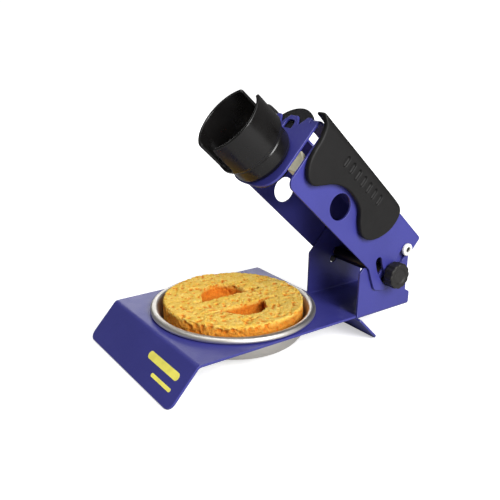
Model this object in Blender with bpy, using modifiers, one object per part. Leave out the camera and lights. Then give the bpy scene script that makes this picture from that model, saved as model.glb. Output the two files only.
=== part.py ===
"""Soldering iron stand: bent sheet-steel base with a cleaning tray and sponge, an upright
bracket, and a tilting holder channel with a plastic mouth collar and a rubber grip cover.

Frame: X across the stand, Y from the front lip to the rear, Z up. The origin is the centre of
the front lip's flat bottom edge, on the bench. Lengths are in millimetres, scaled by MM as
meshes and frames are made. The "near" side is +X, the "far" side is -X.
Holder parts are drawn in the holder's own axes: run goes along the channel from its rear
corner to its mouth, rise is square to the channel's web (0 on its outer face, negative inside).
"""
import math

import bmesh
import bpy
from mathutils import Matrix, Vector

MM = 0.001
SIDES = ((1, "near"), (-1, "far"))

# ---- driving dimensions ------------------------------------------------------------------
SHEET = 1.2                 # thickness of every steel pressing
GAP = 0.3                   # clearance kept between neighbouring pieces

PLATE_HALF = 42.5           # half width of the base plate
PLATE_TOP = 17.7            # height of the plate's top face above the bench
FOLD_FRONT = 15.1           # Y of the front fold line
FOLD_REAR = 107.3           # Y of the rear fold line
LIP_RUN = 15.9              # how far the lip runs forward while dropping to the bench
FLAP_RUN = 17.7             # how far the rear flap runs back while dropping to the bench

TRAY_Y = 61.0               # centre of the round tray
TRAY_RIM = 42.2             # outer radius of the tray's rim
TRAY_HOLE = 39.2            # radius of the hole in the plate
SPONGE_R = 35.9
SPONGE_TOP = 24.3

WALL_NEAR = 42.5            # outer face of the bracket's near wall
WALL_FAR = 3.28             # outer face of the bracket's far wall
FLOOR_TOP = PLATE_TOP - SHEET - GAP
FLOOR_LOW = FLOOR_TOP - SHEET

CHANNEL_FAR = 1.75          # outer faces of the holder channel
CHANNEL_NEAR = 44.03
CHANNEL_MID = (CHANNEL_FAR + CHANNEL_NEAR) / 2
CHANNEL_HALF = (CHANNEL_NEAR - CHANNEL_FAR) / 2
CHANNEL_LENGTH = 91.3       # length of the channel's side plates
CHANNEL_DEPTH = 32.5        # depth of the side plates
CHANNEL_BEND = 2.2          # outer bend radius between web and side plates
ALONG_HOLDER = (-20, 110)   # run covered by cutters that pass right along the holder

TILT = 42.55                # rest tilt of the channel above the bench, degrees
CORNER_Y, CORNER_Z = 148.19, 52.66    # the channel's upper rear corner (run = 0, rise = 0)
PIVOT_RUN, PIVOT_RISE = 4.7, -10.9    # the pivot the channel tilts about
CLAMP_RUN, CLAMP_RISE = 4.4, -25.6    # the clamp bolt
CLAMP_BORE = 2.3            # radius of the holes the clamp bolt passes through
PEG_RUN, PEG_RISE = 87.2, -20.0       # pegs of the guide blocks
GUIDE_R = 19.2              # radius of the guide slot about the pivot
GUIDE_BORE = 2.1            # half width of the guide slot, radius of the pin's wall hole
GUIDE_PIN_DEG = 228.0       # where the guide pin stands, from +Y towards +Z
GUIDE_SLOT_DEG = (189.0, GUIDE_PIN_DEG + 4.6)   # the guide slot's ends, at rest

FLANGE_FRONT = 94.3         # run of the front flange's front face
FLANGE_HALF = 17.4
FLANGE_SHOULDER = -26.0     # rise where the front flange starts to round in
FLANGE_FOOT = -38.4         # rise of its lowest point
COLLAR_RISE = -24.2         # rise of the collar's axis
COLLAR_R = 16.8             # radius of the collar's cup
COLLAR_OVAL = 0.93          # the cup is a little narrower across X
COLLAR_RIM = 121.3          # run of the cup's rim


def world_yz(run, rise):
    """Y, Z of a holder point, at rest."""
    cosine, sine = math.cos(math.radians(TILT)), math.sin(math.radians(TILT))
    return (CORNER_Y - cosine * run + sine * rise, CORNER_Z + sine * run + cosine * rise)


PIVOT_Y, PIVOT_Z = world_yz(PIVOT_RUN, PIVOT_RISE)
CLAMP_Y, CLAMP_Z = world_yz(CLAMP_RUN, CLAMP_RISE)
CLAMP_R = math.hypot(CLAMP_RUN - PIVOT_RUN, CLAMP_RISE - PIVOT_RISE)
CLAMP_DEG = math.degrees(math.atan2(CLAMP_Z - PIVOT_Z, CLAMP_Y - PIVOT_Y)) % 360
GUIDE_Y = PIVOT_Y + GUIDE_R * math.cos(math.radians(GUIDE_PIN_DEG))
GUIDE_Z = PIVOT_Z + GUIDE_R * math.sin(math.radians(GUIDE_PIN_DEG))

# ---- scene -------------------------------------------------------------------------------
for old in list(bpy.data.objects):
    bpy.data.objects.remove(old, do_unlink=True)

PARTS = bpy.data.collections.new("soldering_iron_stand")
CUTTERS = bpy.data.collections.new("cutters")
bpy.context.scene.collection.children.link(PARTS)
bpy.context.scene.collection.children.link(CUTTERS)
CUTTERS.hide_render = True


# ---- materials ---------------------------------------------------------------------------
def material(name, color, roughness, metallic=0.0):
    mat = bpy.data.materials.new(name)
    mat.use_nodes = True
    shader = mat.node_tree.nodes["Principled BSDF"]
    shader.inputs["Base Color"].default_value = (*color, 1.0)
    shader.inputs["Roughness"].default_value = roughness
    shader.inputs["Metallic"].default_value = metallic
    return mat


BASE_BLUE = material("blue_enamel_base", color=(0.060, 0.052, 0.270), roughness=0.42)
BRACKET_BLUE = material("blue_enamel_bracket", color=(0.060, 0.052, 0.275), roughness=0.42)
CHANNEL_BLUE = material("blue_enamel_channel", color=(0.066, 0.058, 0.290), roughness=0.42)
TRAY_STEEL = material("tray_steel", color=(0.62, 0.60, 0.56), roughness=0.32, metallic=1.0)
CELLULOSE = material("cellulose", color=(0.90, 0.52, 0.14), roughness=0.95)
RUBBER = material("grip_rubber", color=(0.016, 0.015, 0.014), roughness=0.55)
COLLAR_RESIN = material("collar_resin", color=(0.014, 0.013, 0.013), roughness=0.28)
CLIP_RESIN = material("clip_resin", color=(0.012, 0.012, 0.013), roughness=0.5)
CREAM_NYLON = material("cream_nylon", color=(0.62, 0.60, 0.42), roughness=0.5)
WHITE_NYLON = material("white_nylon", color=(0.86, 0.86, 0.80), roughness=0.45)
KNOB_RESIN = material("knob_resin", color=(0.018, 0.017, 0.017), roughness=0.45)
BRASS = material("insert_brass", color=(0.70, 0.52, 0.22), roughness=0.35, metallic=1.0)
ZINC = material("zinc_plate", color=(0.60, 0.61, 0.63), roughness=0.35, metallic=1.0)
PIN_STEEL = material("pin_steel", color=(0.45, 0.46, 0.48), roughness=0.35, metallic=1.0)
ALUMINIUM = material("spacer_aluminium", color=(0.70, 0.71, 0.72), roughness=0.4, metallic=1.0)


# ---- frames ------------------------------------------------------------------------------
def moved(x, y, z):
    return Matrix.Translation(Vector((x, y, z)) * MM)


def turn(degrees, axis):
    return Matrix.Rotation(math.radians(degrees), 4, axis)


def along_x(y, z):
    """Matrix for a round piece whose axis runs along +X through Y, Z of the parent's frame."""
    return moved(0, y, z) @ turn(90, "Y")


def holder_along_x(run, rise):
    return along_x(PIVOT_RUN - run, rise - PIVOT_RISE)


def frame(name, matrix, parent=None):
    obj = bpy.data.objects.new(name, None)
    obj.empty_display_size = 0.01
    PARTS.objects.link(obj)
    obj.parent = parent
    obj.matrix_basis = matrix
    return obj


STAND = frame("stand_frame", Matrix.Identity(4))
HOLDER = frame("holder_tilt_axis", moved(0, PIVOT_Y, PIVOT_Z) @ turn(-TILT, "X"))
KNOB = frame(
    "knob_turn_axis", moved(0, PIVOT_RUN - CLAMP_RUN, CLAMP_RISE - PIVOT_RISE), HOLDER)


def basis(across, up, thick, at=(0, 0, 0)):
    """A matrix from the directions of a drawing's two axes and of its thickness."""
    matrix = Matrix((across, up, thick)).transposed().to_4x4()
    matrix.translation = Vector(at)
    return matrix


HOLDER_ZERO = (0, PIVOT_RUN, -PIVOT_RISE)
PLANES = {
    # (Y, Z), thick along X
    "side": basis((0, 1, 0), (0, 0, 1), (1, 0, 0)),
    # (X, Y), thick along Z
    "plan": basis((1, 0, 0), (0, 1, 0), (0, 0, 1)),
    # (X, Z), thick along -Y
    "front": basis((1, 0, 0), (0, 0, 1), (0, -1, 0)),
    # (run, rise), thick along -X
    "holder side": basis((0, -1, 0), (0, 0, 1), (-1, 0, 0), HOLDER_ZERO),
    # (X, rise), thick along run
    "holder end": basis((1, 0, 0), (0, 0, 1), (0, -1, 0), HOLDER_ZERO),
    # (X, run), thick along -rise
    "holder plan": basis((1, 0, 0), (0, -1, 0), (0, 0, -1), HOLDER_ZERO),
}


# ---- outlines ----------------------------------------------------------------------------
def arc(x, y, radius, start, stop, count):
    """Points from angle start to angle stop, in degrees."""
    angles = [math.radians(start + (stop - start) * i / count) for i in range(count + 1)]
    return [(x + radius * math.cos(angle), y + radius * math.sin(angle)) for angle in angles]


def circle(x, y, radius, count):
    return arc(x, y, radius, 0, 360, count)[:-1]


def filleted(corners, count=5):
    """A closed outline from (across, up, radius) corners, each rounded by its own radius."""
    outline = []
    for i, (x, y, radius) in enumerate(corners):
        if radius <= 0:
            outline.append((x, y))
            continue
        corner = Vector((x, y))
        back = (Vector(corners[i - 1][:2]) - corner).normalized()
        ahead = (Vector(corners[(i + 1) % len(corners)][:2]) - corner).normalized()
        half = back.angle(ahead) / 2
        reach = radius / math.tan(half)
        centre = corner + (back + ahead).normalized() * (radius / math.sin(half))
        start = corner + back * reach - centre
        end = corner + ahead * reach - centre
        sweep = start.angle_signed(end)
        for k in range(count + 1):
            outline.append(tuple(centre + Matrix.Rotation(-sweep * k / count, 2) @ start))
    return outline


def smooth_loop(points, steps):
    """A closed Catmull-Rom curve through design points."""
    outline = []
    total = len(points)
    for i in range(total):
        before, here, after, beyond = (Vector(points[(i + k - 1) % total]) for k in range(4))
        for k in range(steps):
            t = k / steps
            outline.append(tuple(0.5 * (
                2 * here
                + (after - before) * t
                + (2 * before - 5 * here + 4 * after - beyond) * t * t
                + (3 * here - before - 3 * after + beyond) * t ** 3)))
    return outline


def curved_slot(x, y, radius, start, stop, half):
    """A slot about (x, y) with rounded ends: centre-line radius, end angles, half width."""
    count, cap = 8, 6       # segments along each side and round each end
    start_centre, stop_centre = arc(x, y, radius, start, stop, 1)
    return (
        arc(x, y, radius + half, start, stop, count)
        + arc(*stop_centre, half, stop, stop + 180, cap)[1:-1]
        + arc(x, y, radius - half, stop, start, count)
        + arc(*start_centre, half, start + 180, start + 360, cap)[1:-1]
    )


def folded(top, thick, radius):
    """Outline of a bent sheet: its top line, rounded at the folds, and the line under it."""
    lines = []
    for (x0, y0), (x1, y1) in zip(top, top[1:]):
        shift = Vector((y1 - y0, x0 - x1)).normalized() * thick
        lines.append((Vector((x0, y0)) + shift, Vector((x1, y1)) + shift))
    under = [lines[0][0]]
    for (start, end), (next_start, next_end) in zip(lines, lines[1:]):
        step, next_step = end - start, next_end - next_start
        share = (next_start - start).cross(next_step) / step.cross(next_step)
        under.append(start + step * share)
    under.append(lines[-1][1])
    corners = [(*top[0], 0)] + [(*point, radius) for point in top[1:-1]] + [(*top[-1], 0)]
    corners += [(*under[-1], 0)]
    corners += [(*point, radius - thick) for point in under[-2:0:-1]]
    corners += [(*under[0], 0)]
    return filleted(corners)


def facing(loop, side):
    """Keeps the winding of an outline that is mirrored on the far side."""
    return loop if side > 0 else loop[::-1]


def inner_section(far, near, top, radius):
    """End view of the space between two side plates, open below, rounded at the top."""
    return filleted([(far, -60, 0), (near, -60, 0), (near, top, radius), (far, top, radius)])


# ---- solids: a piece made without a material is a hidden cutter ------------------------------
def settle(name, mesh, mat, parent):
    obj = bpy.data.objects.new(name, mesh)
    if mat:
        PARTS.objects.link(obj)
        mesh.materials.append(mat)
    else:
        CUTTERS.objects.link(obj)
        obj.hide_render = True
        obj.display_type = "WIRE"
    mesh.shade_smooth()
    mesh.set_sharp_from_angle(angle=math.radians(32))
    obj.parent = parent
    return obj


def solid(name, bm, mat, parent):
    mesh = bpy.data.meshes.new(name)
    bm.to_mesh(mesh)
    bm.free()
    return settle(name, mesh, mat, parent)


def evaluated_mesh(obj):
    graph = bpy.context.evaluated_depsgraph_get()
    graph.update()
    return bpy.data.meshes.new_from_object(obj.evaluated_get(graph))


def prism(name, loops, low, high, plane, mat=None, parent=None):
    """A flat outline (first loop) with holes (other loops), extruded from low to high."""
    curve = bpy.data.curves.new(name + "_outline", "CURVE")
    curve.dimensions = "2D"
    curve.fill_mode = "BOTH"
    curve.extrude = (high - low) / 2
    for loop in loops:
        spline = curve.splines.new("POLY")
        spline.points.add(len(loop) - 1)
        for point, (across, up) in zip(spline.points, loop):
            point.co = (across, up, 0, 1)
        spline.use_cyclic_u = True
    source = bpy.data.objects.new(name + "_outline", curve)
    bpy.context.scene.collection.objects.link(source)
    mesh = evaluated_mesh(source)
    bpy.data.objects.remove(source, do_unlink=True)
    bm = bmesh.new()
    bm.from_mesh(mesh)
    bpy.data.meshes.remove(mesh)
    bmesh.ops.remove_doubles(bm, verts=bm.verts, dist=1e-3)
    bmesh.ops.dissolve_limit(bm, angle_limit=0.001, verts=bm.verts, edges=bm.edges)
    centred = Matrix.Translation((0, 0, (low + high) / 2))
    bmesh.ops.transform(bm, matrix=centred, verts=bm.verts)
    bmesh.ops.transform(bm, matrix=PLANES[plane], verts=bm.verts)
    bmesh.ops.scale(bm, vec=(MM, MM, MM), verts=bm.verts)
    bmesh.ops.recalc_face_normals(bm, faces=bm.faces)
    return solid(name, bm, mat, parent)


def turned(name, profile, matrix, mat, parent, steps, ring=False):
    """(radius, height) points, down the outer side, spun about the height axis.

    A ring's profile is closed; any other starts and ends on the axis.
    """
    bm = bmesh.new()
    verts = [bm.verts.new((radius * MM, 0, height * MM)) for radius, height in profile]
    for start, end in zip(verts, verts[1:]):
        bm.edges.new((start, end))
    if ring:
        bm.edges.new((verts[-1], verts[0]))
    obj = solid(name, bm, mat, parent)
    screw = obj.modifiers.new("turn", "SCREW")
    screw.axis = "Z"
    screw.angle = math.tau
    screw.steps = screw.render_steps = steps
    screw.use_merge_vertices = True
    screw.merge_threshold = 0.00001
    screw.use_smooth_shade = True
    obj.matrix_basis = matrix
    return obj


def tube(name, bore, radius, low, high, matrix, mat, parent, steps):
    profile = [(bore, high), (radius, high), (radius, low), (bore, low)]
    return turned(name, profile, matrix, mat, parent, steps, ring=True)


def rod(name, radius, low, high, matrix, count, mat=None, parent=None):
    """A plain round bar from low to high along the matrix's Z."""
    bm = bmesh.new()
    bmesh.ops.create_cone(bm, cap_ends=True, segments=count, radius1=radius * MM,
                          radius2=radius * MM, depth=(high - low) * MM)
    bmesh.ops.translate(bm, vec=(0, 0, (low + high) / 2 * MM), verts=bm.verts)
    obj = solid(name, bm, mat, parent)
    obj.matrix_basis = matrix
    return obj


def boolean(target, tool, how="DIFFERENCE"):
    mod = target.modifiers.new(how.lower() + "_" + tool.name, "BOOLEAN")
    mod.operation = how
    mod.solver = "EXACT"
    mod.object = tool


def cut_block(target, name, low, high):
    """Cuts a box between two opposite corners."""
    bm = bmesh.new()
    bmesh.ops.create_cube(bm, size=1.0)
    size = [(b - a) * MM for a, b in zip(low, high)]
    bmesh.ops.scale(bm, vec=size, verts=bm.verts)
    centre = [(a + b) / 2 * MM for a, b in zip(low, high)]
    bmesh.ops.translate(bm, vec=centre, verts=bm.verts)
    boolean(target, solid(name, bm, None, None))


def cut_prism(target, name, loop, low, high, plane):
    parent = HOLDER if plane.startswith("holder") else None
    boolean(target, prism(name, [loop], low, high, plane, parent=parent))


def round_long_edges(target, name, half, top, radius, step):
    """Rounds the two upper edges along the holder, with a point every step degrees."""
    for side, tag in SIDES:
        edge = CHANNEL_MID + side * half
        inside, outside = edge - side * radius, edge + side * 2
        loop = [(inside, top)]
        for degrees in range(step, 90, step):
            angle = math.radians(degrees)
            loop.append((inside + side * radius * math.sin(angle),
                         top - radius + radius * math.cos(angle)))
        loop += [(edge, top - radius), (outside, top - radius), (outside, top + 2),
                 (inside, top + 2)]
        cut_prism(target, name + tag, loop, *ALONG_HOLDER, "holder end")


# ---- base plate: lip, flat deck and rear flap bent from one sheet ----------------------------
def round_bottom_corner(base, name, side, front, rear, height):
    """Rounds a bottom corner of the lip or flap, seen from the front."""
    width = 4.0
    edge = side * PLATE_HALF
    inside = edge - side * width
    loop = [(inside, -1.0)]
    for degrees in range(0, 91, 15):
        angle = math.radians(degrees)
        loop.append((inside + side * width * math.sin(angle), height * (1 - math.cos(angle))))
    loop += [(edge + side, height), (edge + side, -1.0)]
    cut_prism(base, name, facing(loop, side), -rear, -front, "front")


def make_base_plate():
    below = 3.0             # lip and flap are drawn past the bench, then cut flat on it
    lip_slope, flap_slope = PLATE_TOP / LIP_RUN, PLATE_TOP / FLAP_RUN
    top_line = [
        (FOLD_FRONT - LIP_RUN - below / lip_slope, -below),
        (FOLD_FRONT, PLATE_TOP),
        (FOLD_REAR, PLATE_TOP),
        (FOLD_REAR + FLAP_RUN + below / flap_slope, -below),
    ]
    section = folded(top_line, SHEET, radius=3.2)
    base = prism("base_plate", [section], -PLATE_HALF, PLATE_HALF, "side", BASE_BLUE, STAND)
    cut_block(base, "cut_bench", (-60, -30, -10), (60, 150, 0))
    boolean(base, rod("cut_tray_hole", TRAY_HOLE, 10, 25, moved(0, TRAY_Y, 0), 64))
    for side, tag in SIDES:
        round_bottom_corner(base, "cut_lip_" + tag, side, -10, FOLD_FRONT - 4, 3.0)
        round_bottom_corner(base, "cut_flap_" + tag, side, FOLD_REAR + 4, 140, 2.8)
    # the slit the bracket's floor passes through
    slack = 0.35
    cut_block(base, "cut_slit", (WALL_FAR - 0.5, FOLD_REAR - slack, FLOOR_LOW - slack),
              (60, FOLD_REAR + 8, 25))


# ---- upright bracket: a U of floor and two walls --------------------------------------------
def make_bracket():
    front, rear = FOLD_REAR, FOLD_REAR + 34.5
    tongue_front = front - 7.6      # the floor reaches forward under the deck
    tongue_top = FLOOR_TOP - 0.06
    # (Y, Z, radius) of the far wall; the near wall is cut down from it
    wall = filleted([
        (tongue_front, FLOOR_LOW, 0), (rear + 4.9, FLOOR_LOW, 1.0), (rear + 4.9, 27.0, 1.2),
        (rear, 29.0, 0.6), (rear, PIVOT_Z + 4.4, 4.2), (PIVOT_Y - 15.0, PIVOT_Z + 8.4, 2.5),
        (front + 2.4, 42.4, 0.6), (front, 40.0, 0.6), (front, tongue_top, 0),
        (tongue_front, tongue_top, 0),
    ])
    # (Y, Z, radius) of what the near wall lacks: a notched front and a lower top edge
    near_top = filleted([
        (100.0, 42.4, 0), (PIVOT_Y - 21.8, 42.4, 1.0), (PIVOT_Y - 21.8, 38.8, 1.2),
        (PIVOT_Y - 17.4, 36.2, 1.8), (PIVOT_Y - 14.4, 39.6, 1.4), (PIVOT_Y - 12.6, 45.0, 1.0),
        (PIVOT_Y - 4.4, PIVOT_Z + 4.1, 3.0), (160.0, PIVOT_Z + 4.1, 0), (160.0, 75.0, 0),
        (100.0, 75.0, 0),
    ])
    # (Y, Z, radius) of the rear cut, which leaves a lower step there
    near_rear = filleted([
        (rear - 0.15, 24.4, 0.6), (rear + 3.1, 22.4, 1.2), (rear + 3.1, 5, 0),
        (170, 5, 0), (170, 62, 0), (rear - 0.15, 62, 0),
    ])
    holes = [
        circle(PIVOT_Y, PIVOT_Z, 1.5, 20),
        circle(GUIDE_Y, GUIDE_Z, GUIDE_BORE, 20),
        curved_slot(PIVOT_Y, PIVOT_Z, CLAMP_R, CLAMP_DEG - 5.6, CLAMP_DEG + 27.6, CLAMP_BORE),
    ]
    bracket = prism("upright_bracket", [wall, *holes], WALL_FAR, WALL_NEAR, "side",
                    BRACKET_BLUE, STAND)
    cut_block(bracket, "cut_bracket_inside", (WALL_FAR + SHEET, front - 5.0, FLOOR_TOP),
              (WALL_NEAR - SHEET, rear + 12, 70))
    cut_prism(bracket, "cut_near_top", near_top, WALL_NEAR - 6, WALL_NEAR + 5, "side")
    cut_prism(bracket, "cut_near_rear", near_rear, WALL_FAR + 2.2, WALL_NEAR + 5, "side")


# ---- cleaning tray and sponge -----------------------------------------------------------------
def make_tray():
    rest = PLATE_TOP + GAP      # underside of the rim
    # (radius, Z): over the rim, down the outside, back up the inside
    profile = [
        (40.3, rest + 2.8), (41.3, rest + 2.45), (42.0, rest + 1.7), (TRAY_RIM, rest + 1.0),
        (42.0, rest + 0.35), (41.2, rest), (38.6, rest), (38.3, 17.2), (37.7, 12.4),
        (36.8, 9.2), (34.9, 6.6), (31.8, 4.9), (28.0, 4.4), (0, 4.4),
        (0, 5.2), (28.0, 5.2), (31.4, 5.7), (34.2, 7.2), (36.0, 9.5), (36.9, 12.6),
        (37.5, 17.4), (37.9, rest + 0.9), (38.5, rest + 2.1), (39.3, rest + 2.7),
    ]
    turned("cleaning_tray", profile, moved(0, TRAY_Y, 0), TRAY_STEEL, STAND, 56, ring=True)


def make_sponge():
    # (radius, Z)
    profile = [
        (0, SPONGE_TOP), (SPONGE_R - 1.0, SPONGE_TOP), (SPONGE_R, SPONGE_TOP - 1.0),
        (SPONGE_R, 12.9), (34.8, 9.7), (32.6, 7.6), (29.5, 6.5), (0, 6.0),
    ]
    sponge = turned("cleaning_sponge", profile, moved(0, TRAY_Y, 0), CELLULOSE, STAND, 48)
    # (X, Y) of the half-moon pockets either side of a straight strip, with their end slits
    far_pocket = [
        (-3.6, 40.0), (-3.6, 79.4), (-4.6, 79.4), (-5.0, 71.6), (-8.6, 70.6), (-14.8, 68.7),
        (-18.8, 64.9), (-19.9, 59.6), (-17.8, 54.8), (-14.0, 50.6), (-9.0, 47.6),
        (-4.8, 46.2), (-4.4, 40.0),
    ]
    near_pocket = [
        (10.4, 40.0), (11.2, 40.0), (11.8, 46.8), (17.6, 50.6), (21.6, 54.8), (22.8, 59.4),
        (22.0, 63.6), (18.6, 67.8), (14.2, 70.6), (11.6, 71.4), (11.2, 79.6), (10.4, 79.6),
    ]
    for tag, pocket in (("far", far_pocket), ("near", near_pocket)):
        cut_prism(sponge, "cut_moon_" + tag, pocket, SPONGE_TOP - 6.2, SPONGE_TOP + 2, "plan")


# ---- holder channel ---------------------------------------------------------------------------
def side_plate_loops():
    """Outline and holes of the side plates, as (run, rise)."""
    outline = filleted([    # (run, rise, radius)
        (0, 0, 0), (0, -13.0, 1.2), (2.2, -17.0, 1.5), (-0.6, -22.0, 2.5), (-0.9, -29.0, 3.0),
        (2.6, -35.2, 3.0), (8.0, -38.2, 3.2), (13.6, -35.6, 3.0), (19.6, -CHANNEL_DEPTH, 3.0),
        (CHANNEL_LENGTH, -CHANNEL_DEPTH, 4.0), (CHANNEL_LENGTH, 0, 0),
    ], 4)
    # run points to the front, so angles taken from +Y are mirrored as well as tilted
    upper_end, lower_end = (180 - (degrees + TILT) for degrees in GUIDE_SLOT_DEG)
    pivot_slot_r, pivot_slot_drop = 2.4, 7.0
    pivot_slot = (
        arc(PIVOT_RUN, PIVOT_RISE, pivot_slot_r, 0, 180, 8)
        + arc(PIVOT_RUN, PIVOT_RISE - pivot_slot_drop, pivot_slot_r, 180, 360, 8)
    )
    return [
        outline,
        circle(59.05, -21.7, 6.35, 32),     # the large round window
        curved_slot(PIVOT_RUN, PIVOT_RISE, GUIDE_R, lower_end, upper_end, GUIDE_BORE),
        circle(CLAMP_RUN, CLAMP_RISE, CLAMP_BORE, 20),
        pivot_slot,
        circle(PEG_RUN, PEG_RISE, 2.0, 16),
    ]


def flange_blank(name, corners):
    """A strip folded down from the web, from its (run, rise, radius) side view."""
    return prism(name, [filleted(corners)], -(CHANNEL_MID + FLANGE_HALF),
                 -(CHANNEL_MID - FLANGE_HALF), "holder side", parent=HOLDER)


def front_flange():
    back = FLANGE_FRONT - SHEET
    flange = flange_blank("front_flange_blank", [
        (80, 0, 0), (80, -SHEET, 0), (back, -SHEET, 1.0), (back, FLANGE_FOOT, 0),
        (FLANGE_FRONT, FLANGE_FOOT, 0), (FLANGE_FRONT, 0, 2.2),
    ])

    def edge_point(side, degrees):
        angle = math.radians(degrees)
        drop = FLANGE_SHOULDER - FLANGE_FOOT
        return (CHANNEL_MID + side * FLANGE_HALF * math.cos(angle) ** 0.62,
                FLANGE_SHOULDER - drop * math.sin(angle) ** 0.9)

    outside = FLANGE_HALF + 2
    # what is left outside the flange's rounded lower end
    waste = [(CHANNEL_MID - outside, -46), (CHANNEL_MID - outside, FLANGE_SHOULDER)]
    waste += [edge_point(-1, degrees) for degrees in range(6, 85, 6)]
    waste += [(CHANNEL_MID, FLANGE_FOOT)]
    waste += [edge_point(1, degrees) for degrees in range(84, 5, -6)]
    waste += [(CHANNEL_MID + outside, FLANGE_SHOULDER), (CHANNEL_MID + outside, -46)]
    cut_prism(flange, "cut_flange_round", waste, FLANGE_FRONT - 3, FLANGE_FRONT + 2,
              "holder end")
    return flange


def rear_flange():
    back, foot = -3.0, -27.0
    return flange_blank("rear_flange_blank", [
        (back, 0, 2.2), (back, foot, 0), (back + SHEET, foot, 0), (back + SHEET, -SHEET, 1.0),
        (10, -SHEET, 0), (10, 0, 0),
    ])


def cut_front_openings(channel):
    """Collar hole, web window, and the notches and small window at the flange's top."""
    collar_hole = circle(CHANNEL_MID, COLLAR_RISE, 12.7, 40)
    cut_prism(channel, "cut_collar_hole", collar_hole, FLANGE_FRONT - 5, FLANGE_FRONT + 3,
              "holder end")

    # a T: a narrow stem, wider just behind the flange
    stem_left, stem_right = CHANNEL_MID - 5.8, CHANNEL_MID + 5.8
    wide_left, wide_right = CHANNEL_MID - 12.8, CHANNEL_MID + 12.8
    step, end = 88.6, FLANGE_FRONT - SHEET - 0.05
    web_window = filleted([
        (stem_left, 68.5, 5), (stem_right, 68.5, 5), (stem_right, step, 1),
        (wide_right, step, 1), (wide_right, end, 0.6), (wide_left, end, 0.6),
        (wide_left, step, 1), (stem_left, step, 1),
    ])
    cut_prism(channel, "cut_web_window", web_window, -1.5, 2.0, "holder plan")

    through_flange = (FLANGE_FRONT - 2.0, FLANGE_FRONT + 1)
    for side, tag in SIDES:
        # (distance from the middle, rise)
        notch = [(2.6, 1.0), (5.8, -4.1), (6.6, -4.1), (9.6, 1.0)]
        loop = [(CHANNEL_MID + side * out, rise) for out, rise in notch]
        cut_prism(channel, "cut_notch_" + tag, facing(loop, side), *through_flange,
                  "holder end")
    left, right = CHANNEL_MID - 3.2, CHANNEL_MID + 3.2
    tab_window = filleted([
        (left, -7.0, 0.4), (right, -7.0, 0.4), (right, -2.5, 3.0), (left, -2.5, 3.0),
    ], 4)
    cut_prism(channel, "cut_tab_window", tab_window, *through_flange, "holder end")


def make_channel():
    channel = prism("holder_channel", side_plate_loops(), -CHANNEL_NEAR, -CHANNEL_FAR,
                    "holder side", CHANNEL_BLUE, HOLDER)
    inside = inner_section(CHANNEL_FAR + SHEET, CHANNEL_NEAR - SHEET, -SHEET,
                           CHANNEL_BEND - SHEET)
    cut_prism(channel, "cut_inside", inside, *ALONG_HOLDER, "holder end")
    round_long_edges(channel, "cut_bend_", CHANNEL_HALF, 0.0, CHANNEL_BEND, 18)
    boolean(channel, front_flange(), "UNION")
    boolean(channel, rear_flange(), "UNION")
    cut_front_openings(channel)


# ---- mouth collar: neck, and a cup split into two wings ---------------------------------------
def make_collar():
    # (radius, run): down the cup and neck outside, past the clip groove, back up inside
    profile = [
        (15.5, COLLAR_RIM), (16.5, COLLAR_RIM), (COLLAR_R, COLLAR_RIM - 0.4),
        (COLLAR_R, 105.6), (16.2, 104.3), (14.2, 103.4), (14.7, 102.6), (14.7, 97.0),
        (13.9, 95.2), (13.4, FLANGE_FRONT + GAP), (12.4, FLANGE_FRONT + GAP),
        (12.4, 92.95), (11.5, 92.95), (11.5, 90.9), (12.4, 90.9), (12.4, 88.4),
        (10.6, 88.4), (10.6, 99.5), (13.0, 103.5), (15.1, 105.4), (15.3, COLLAR_RIM - 0.4),
    ]
    axis = moved(CHANNEL_MID, PIVOT_RUN, COLLAR_RISE - PIVOT_RISE) @ turn(90, "X")
    collar = turned("mouth_collar", profile, axis, COLLAR_RESIN, HOLDER, 56, ring=True)
    # the spin is made real so that its vertices can be moved
    mesh = evaluated_mesh(collar)
    collar.modifiers.clear()
    collar.data = mesh
    # the cup eases from round at the neck to oval
    ease_start, ease_length = 103.6, 2.0
    for vert in mesh.vertices:
        ease = min(1.0, max(0.0, (vert.co.z / MM - ease_start) / ease_length))
        vert.co.x *= 1.0 + (COLLAR_OVAL - 1.0) * ease
    # tag, lowest and highest rise, reach to the far and near side of the middle
    slots = (
        ("top", COLLAR_RISE + 5, 5, 4.5, 7.0),
        ("bottom", -50, COLLAR_RISE - 5, 6.0, 4.5),
    )
    for tag, low, high, to_far, to_near in slots:
        far, near = CHANNEL_MID - to_far, CHANNEL_MID + to_near
        slot = filleted([
            (far, 106.4, 2.0), (near, 106.4, 2.0), (near + 0.8, 130, 0), (far - 0.8, 130, 0),
        ])
        cut_prism(collar, "cut_mouth_" + tag, slot, -high, -low, "holder plan")


# ---- collar clip: a horseshoe that drops into the collar's groove behind the flange -------------
def make_clip():
    half_width, inner_r, leg_end = 14.5, 11.9, -31.5
    arch_r, arch_rise = 15.2, -10.0
    spread = math.degrees(math.asin(half_width / arch_r))
    outline = (
        [(CHANNEL_MID - half_width, leg_end)]
        + arc(CHANNEL_MID, arch_rise, arch_r, 90 + spread, 90 - spread, 14)
        + [(CHANNEL_MID + half_width, leg_end), (CHANNEL_MID + inner_r, leg_end)]
        + arc(CHANNEL_MID, COLLAR_RISE, inner_r, 0, 180, 16)
        + [(CHANNEL_MID - inner_r, leg_end)]
    )
    prism("collar_clip", [outline], 91.2, 92.7, "holder end", CLIP_RESIN, HOLDER)


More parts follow.
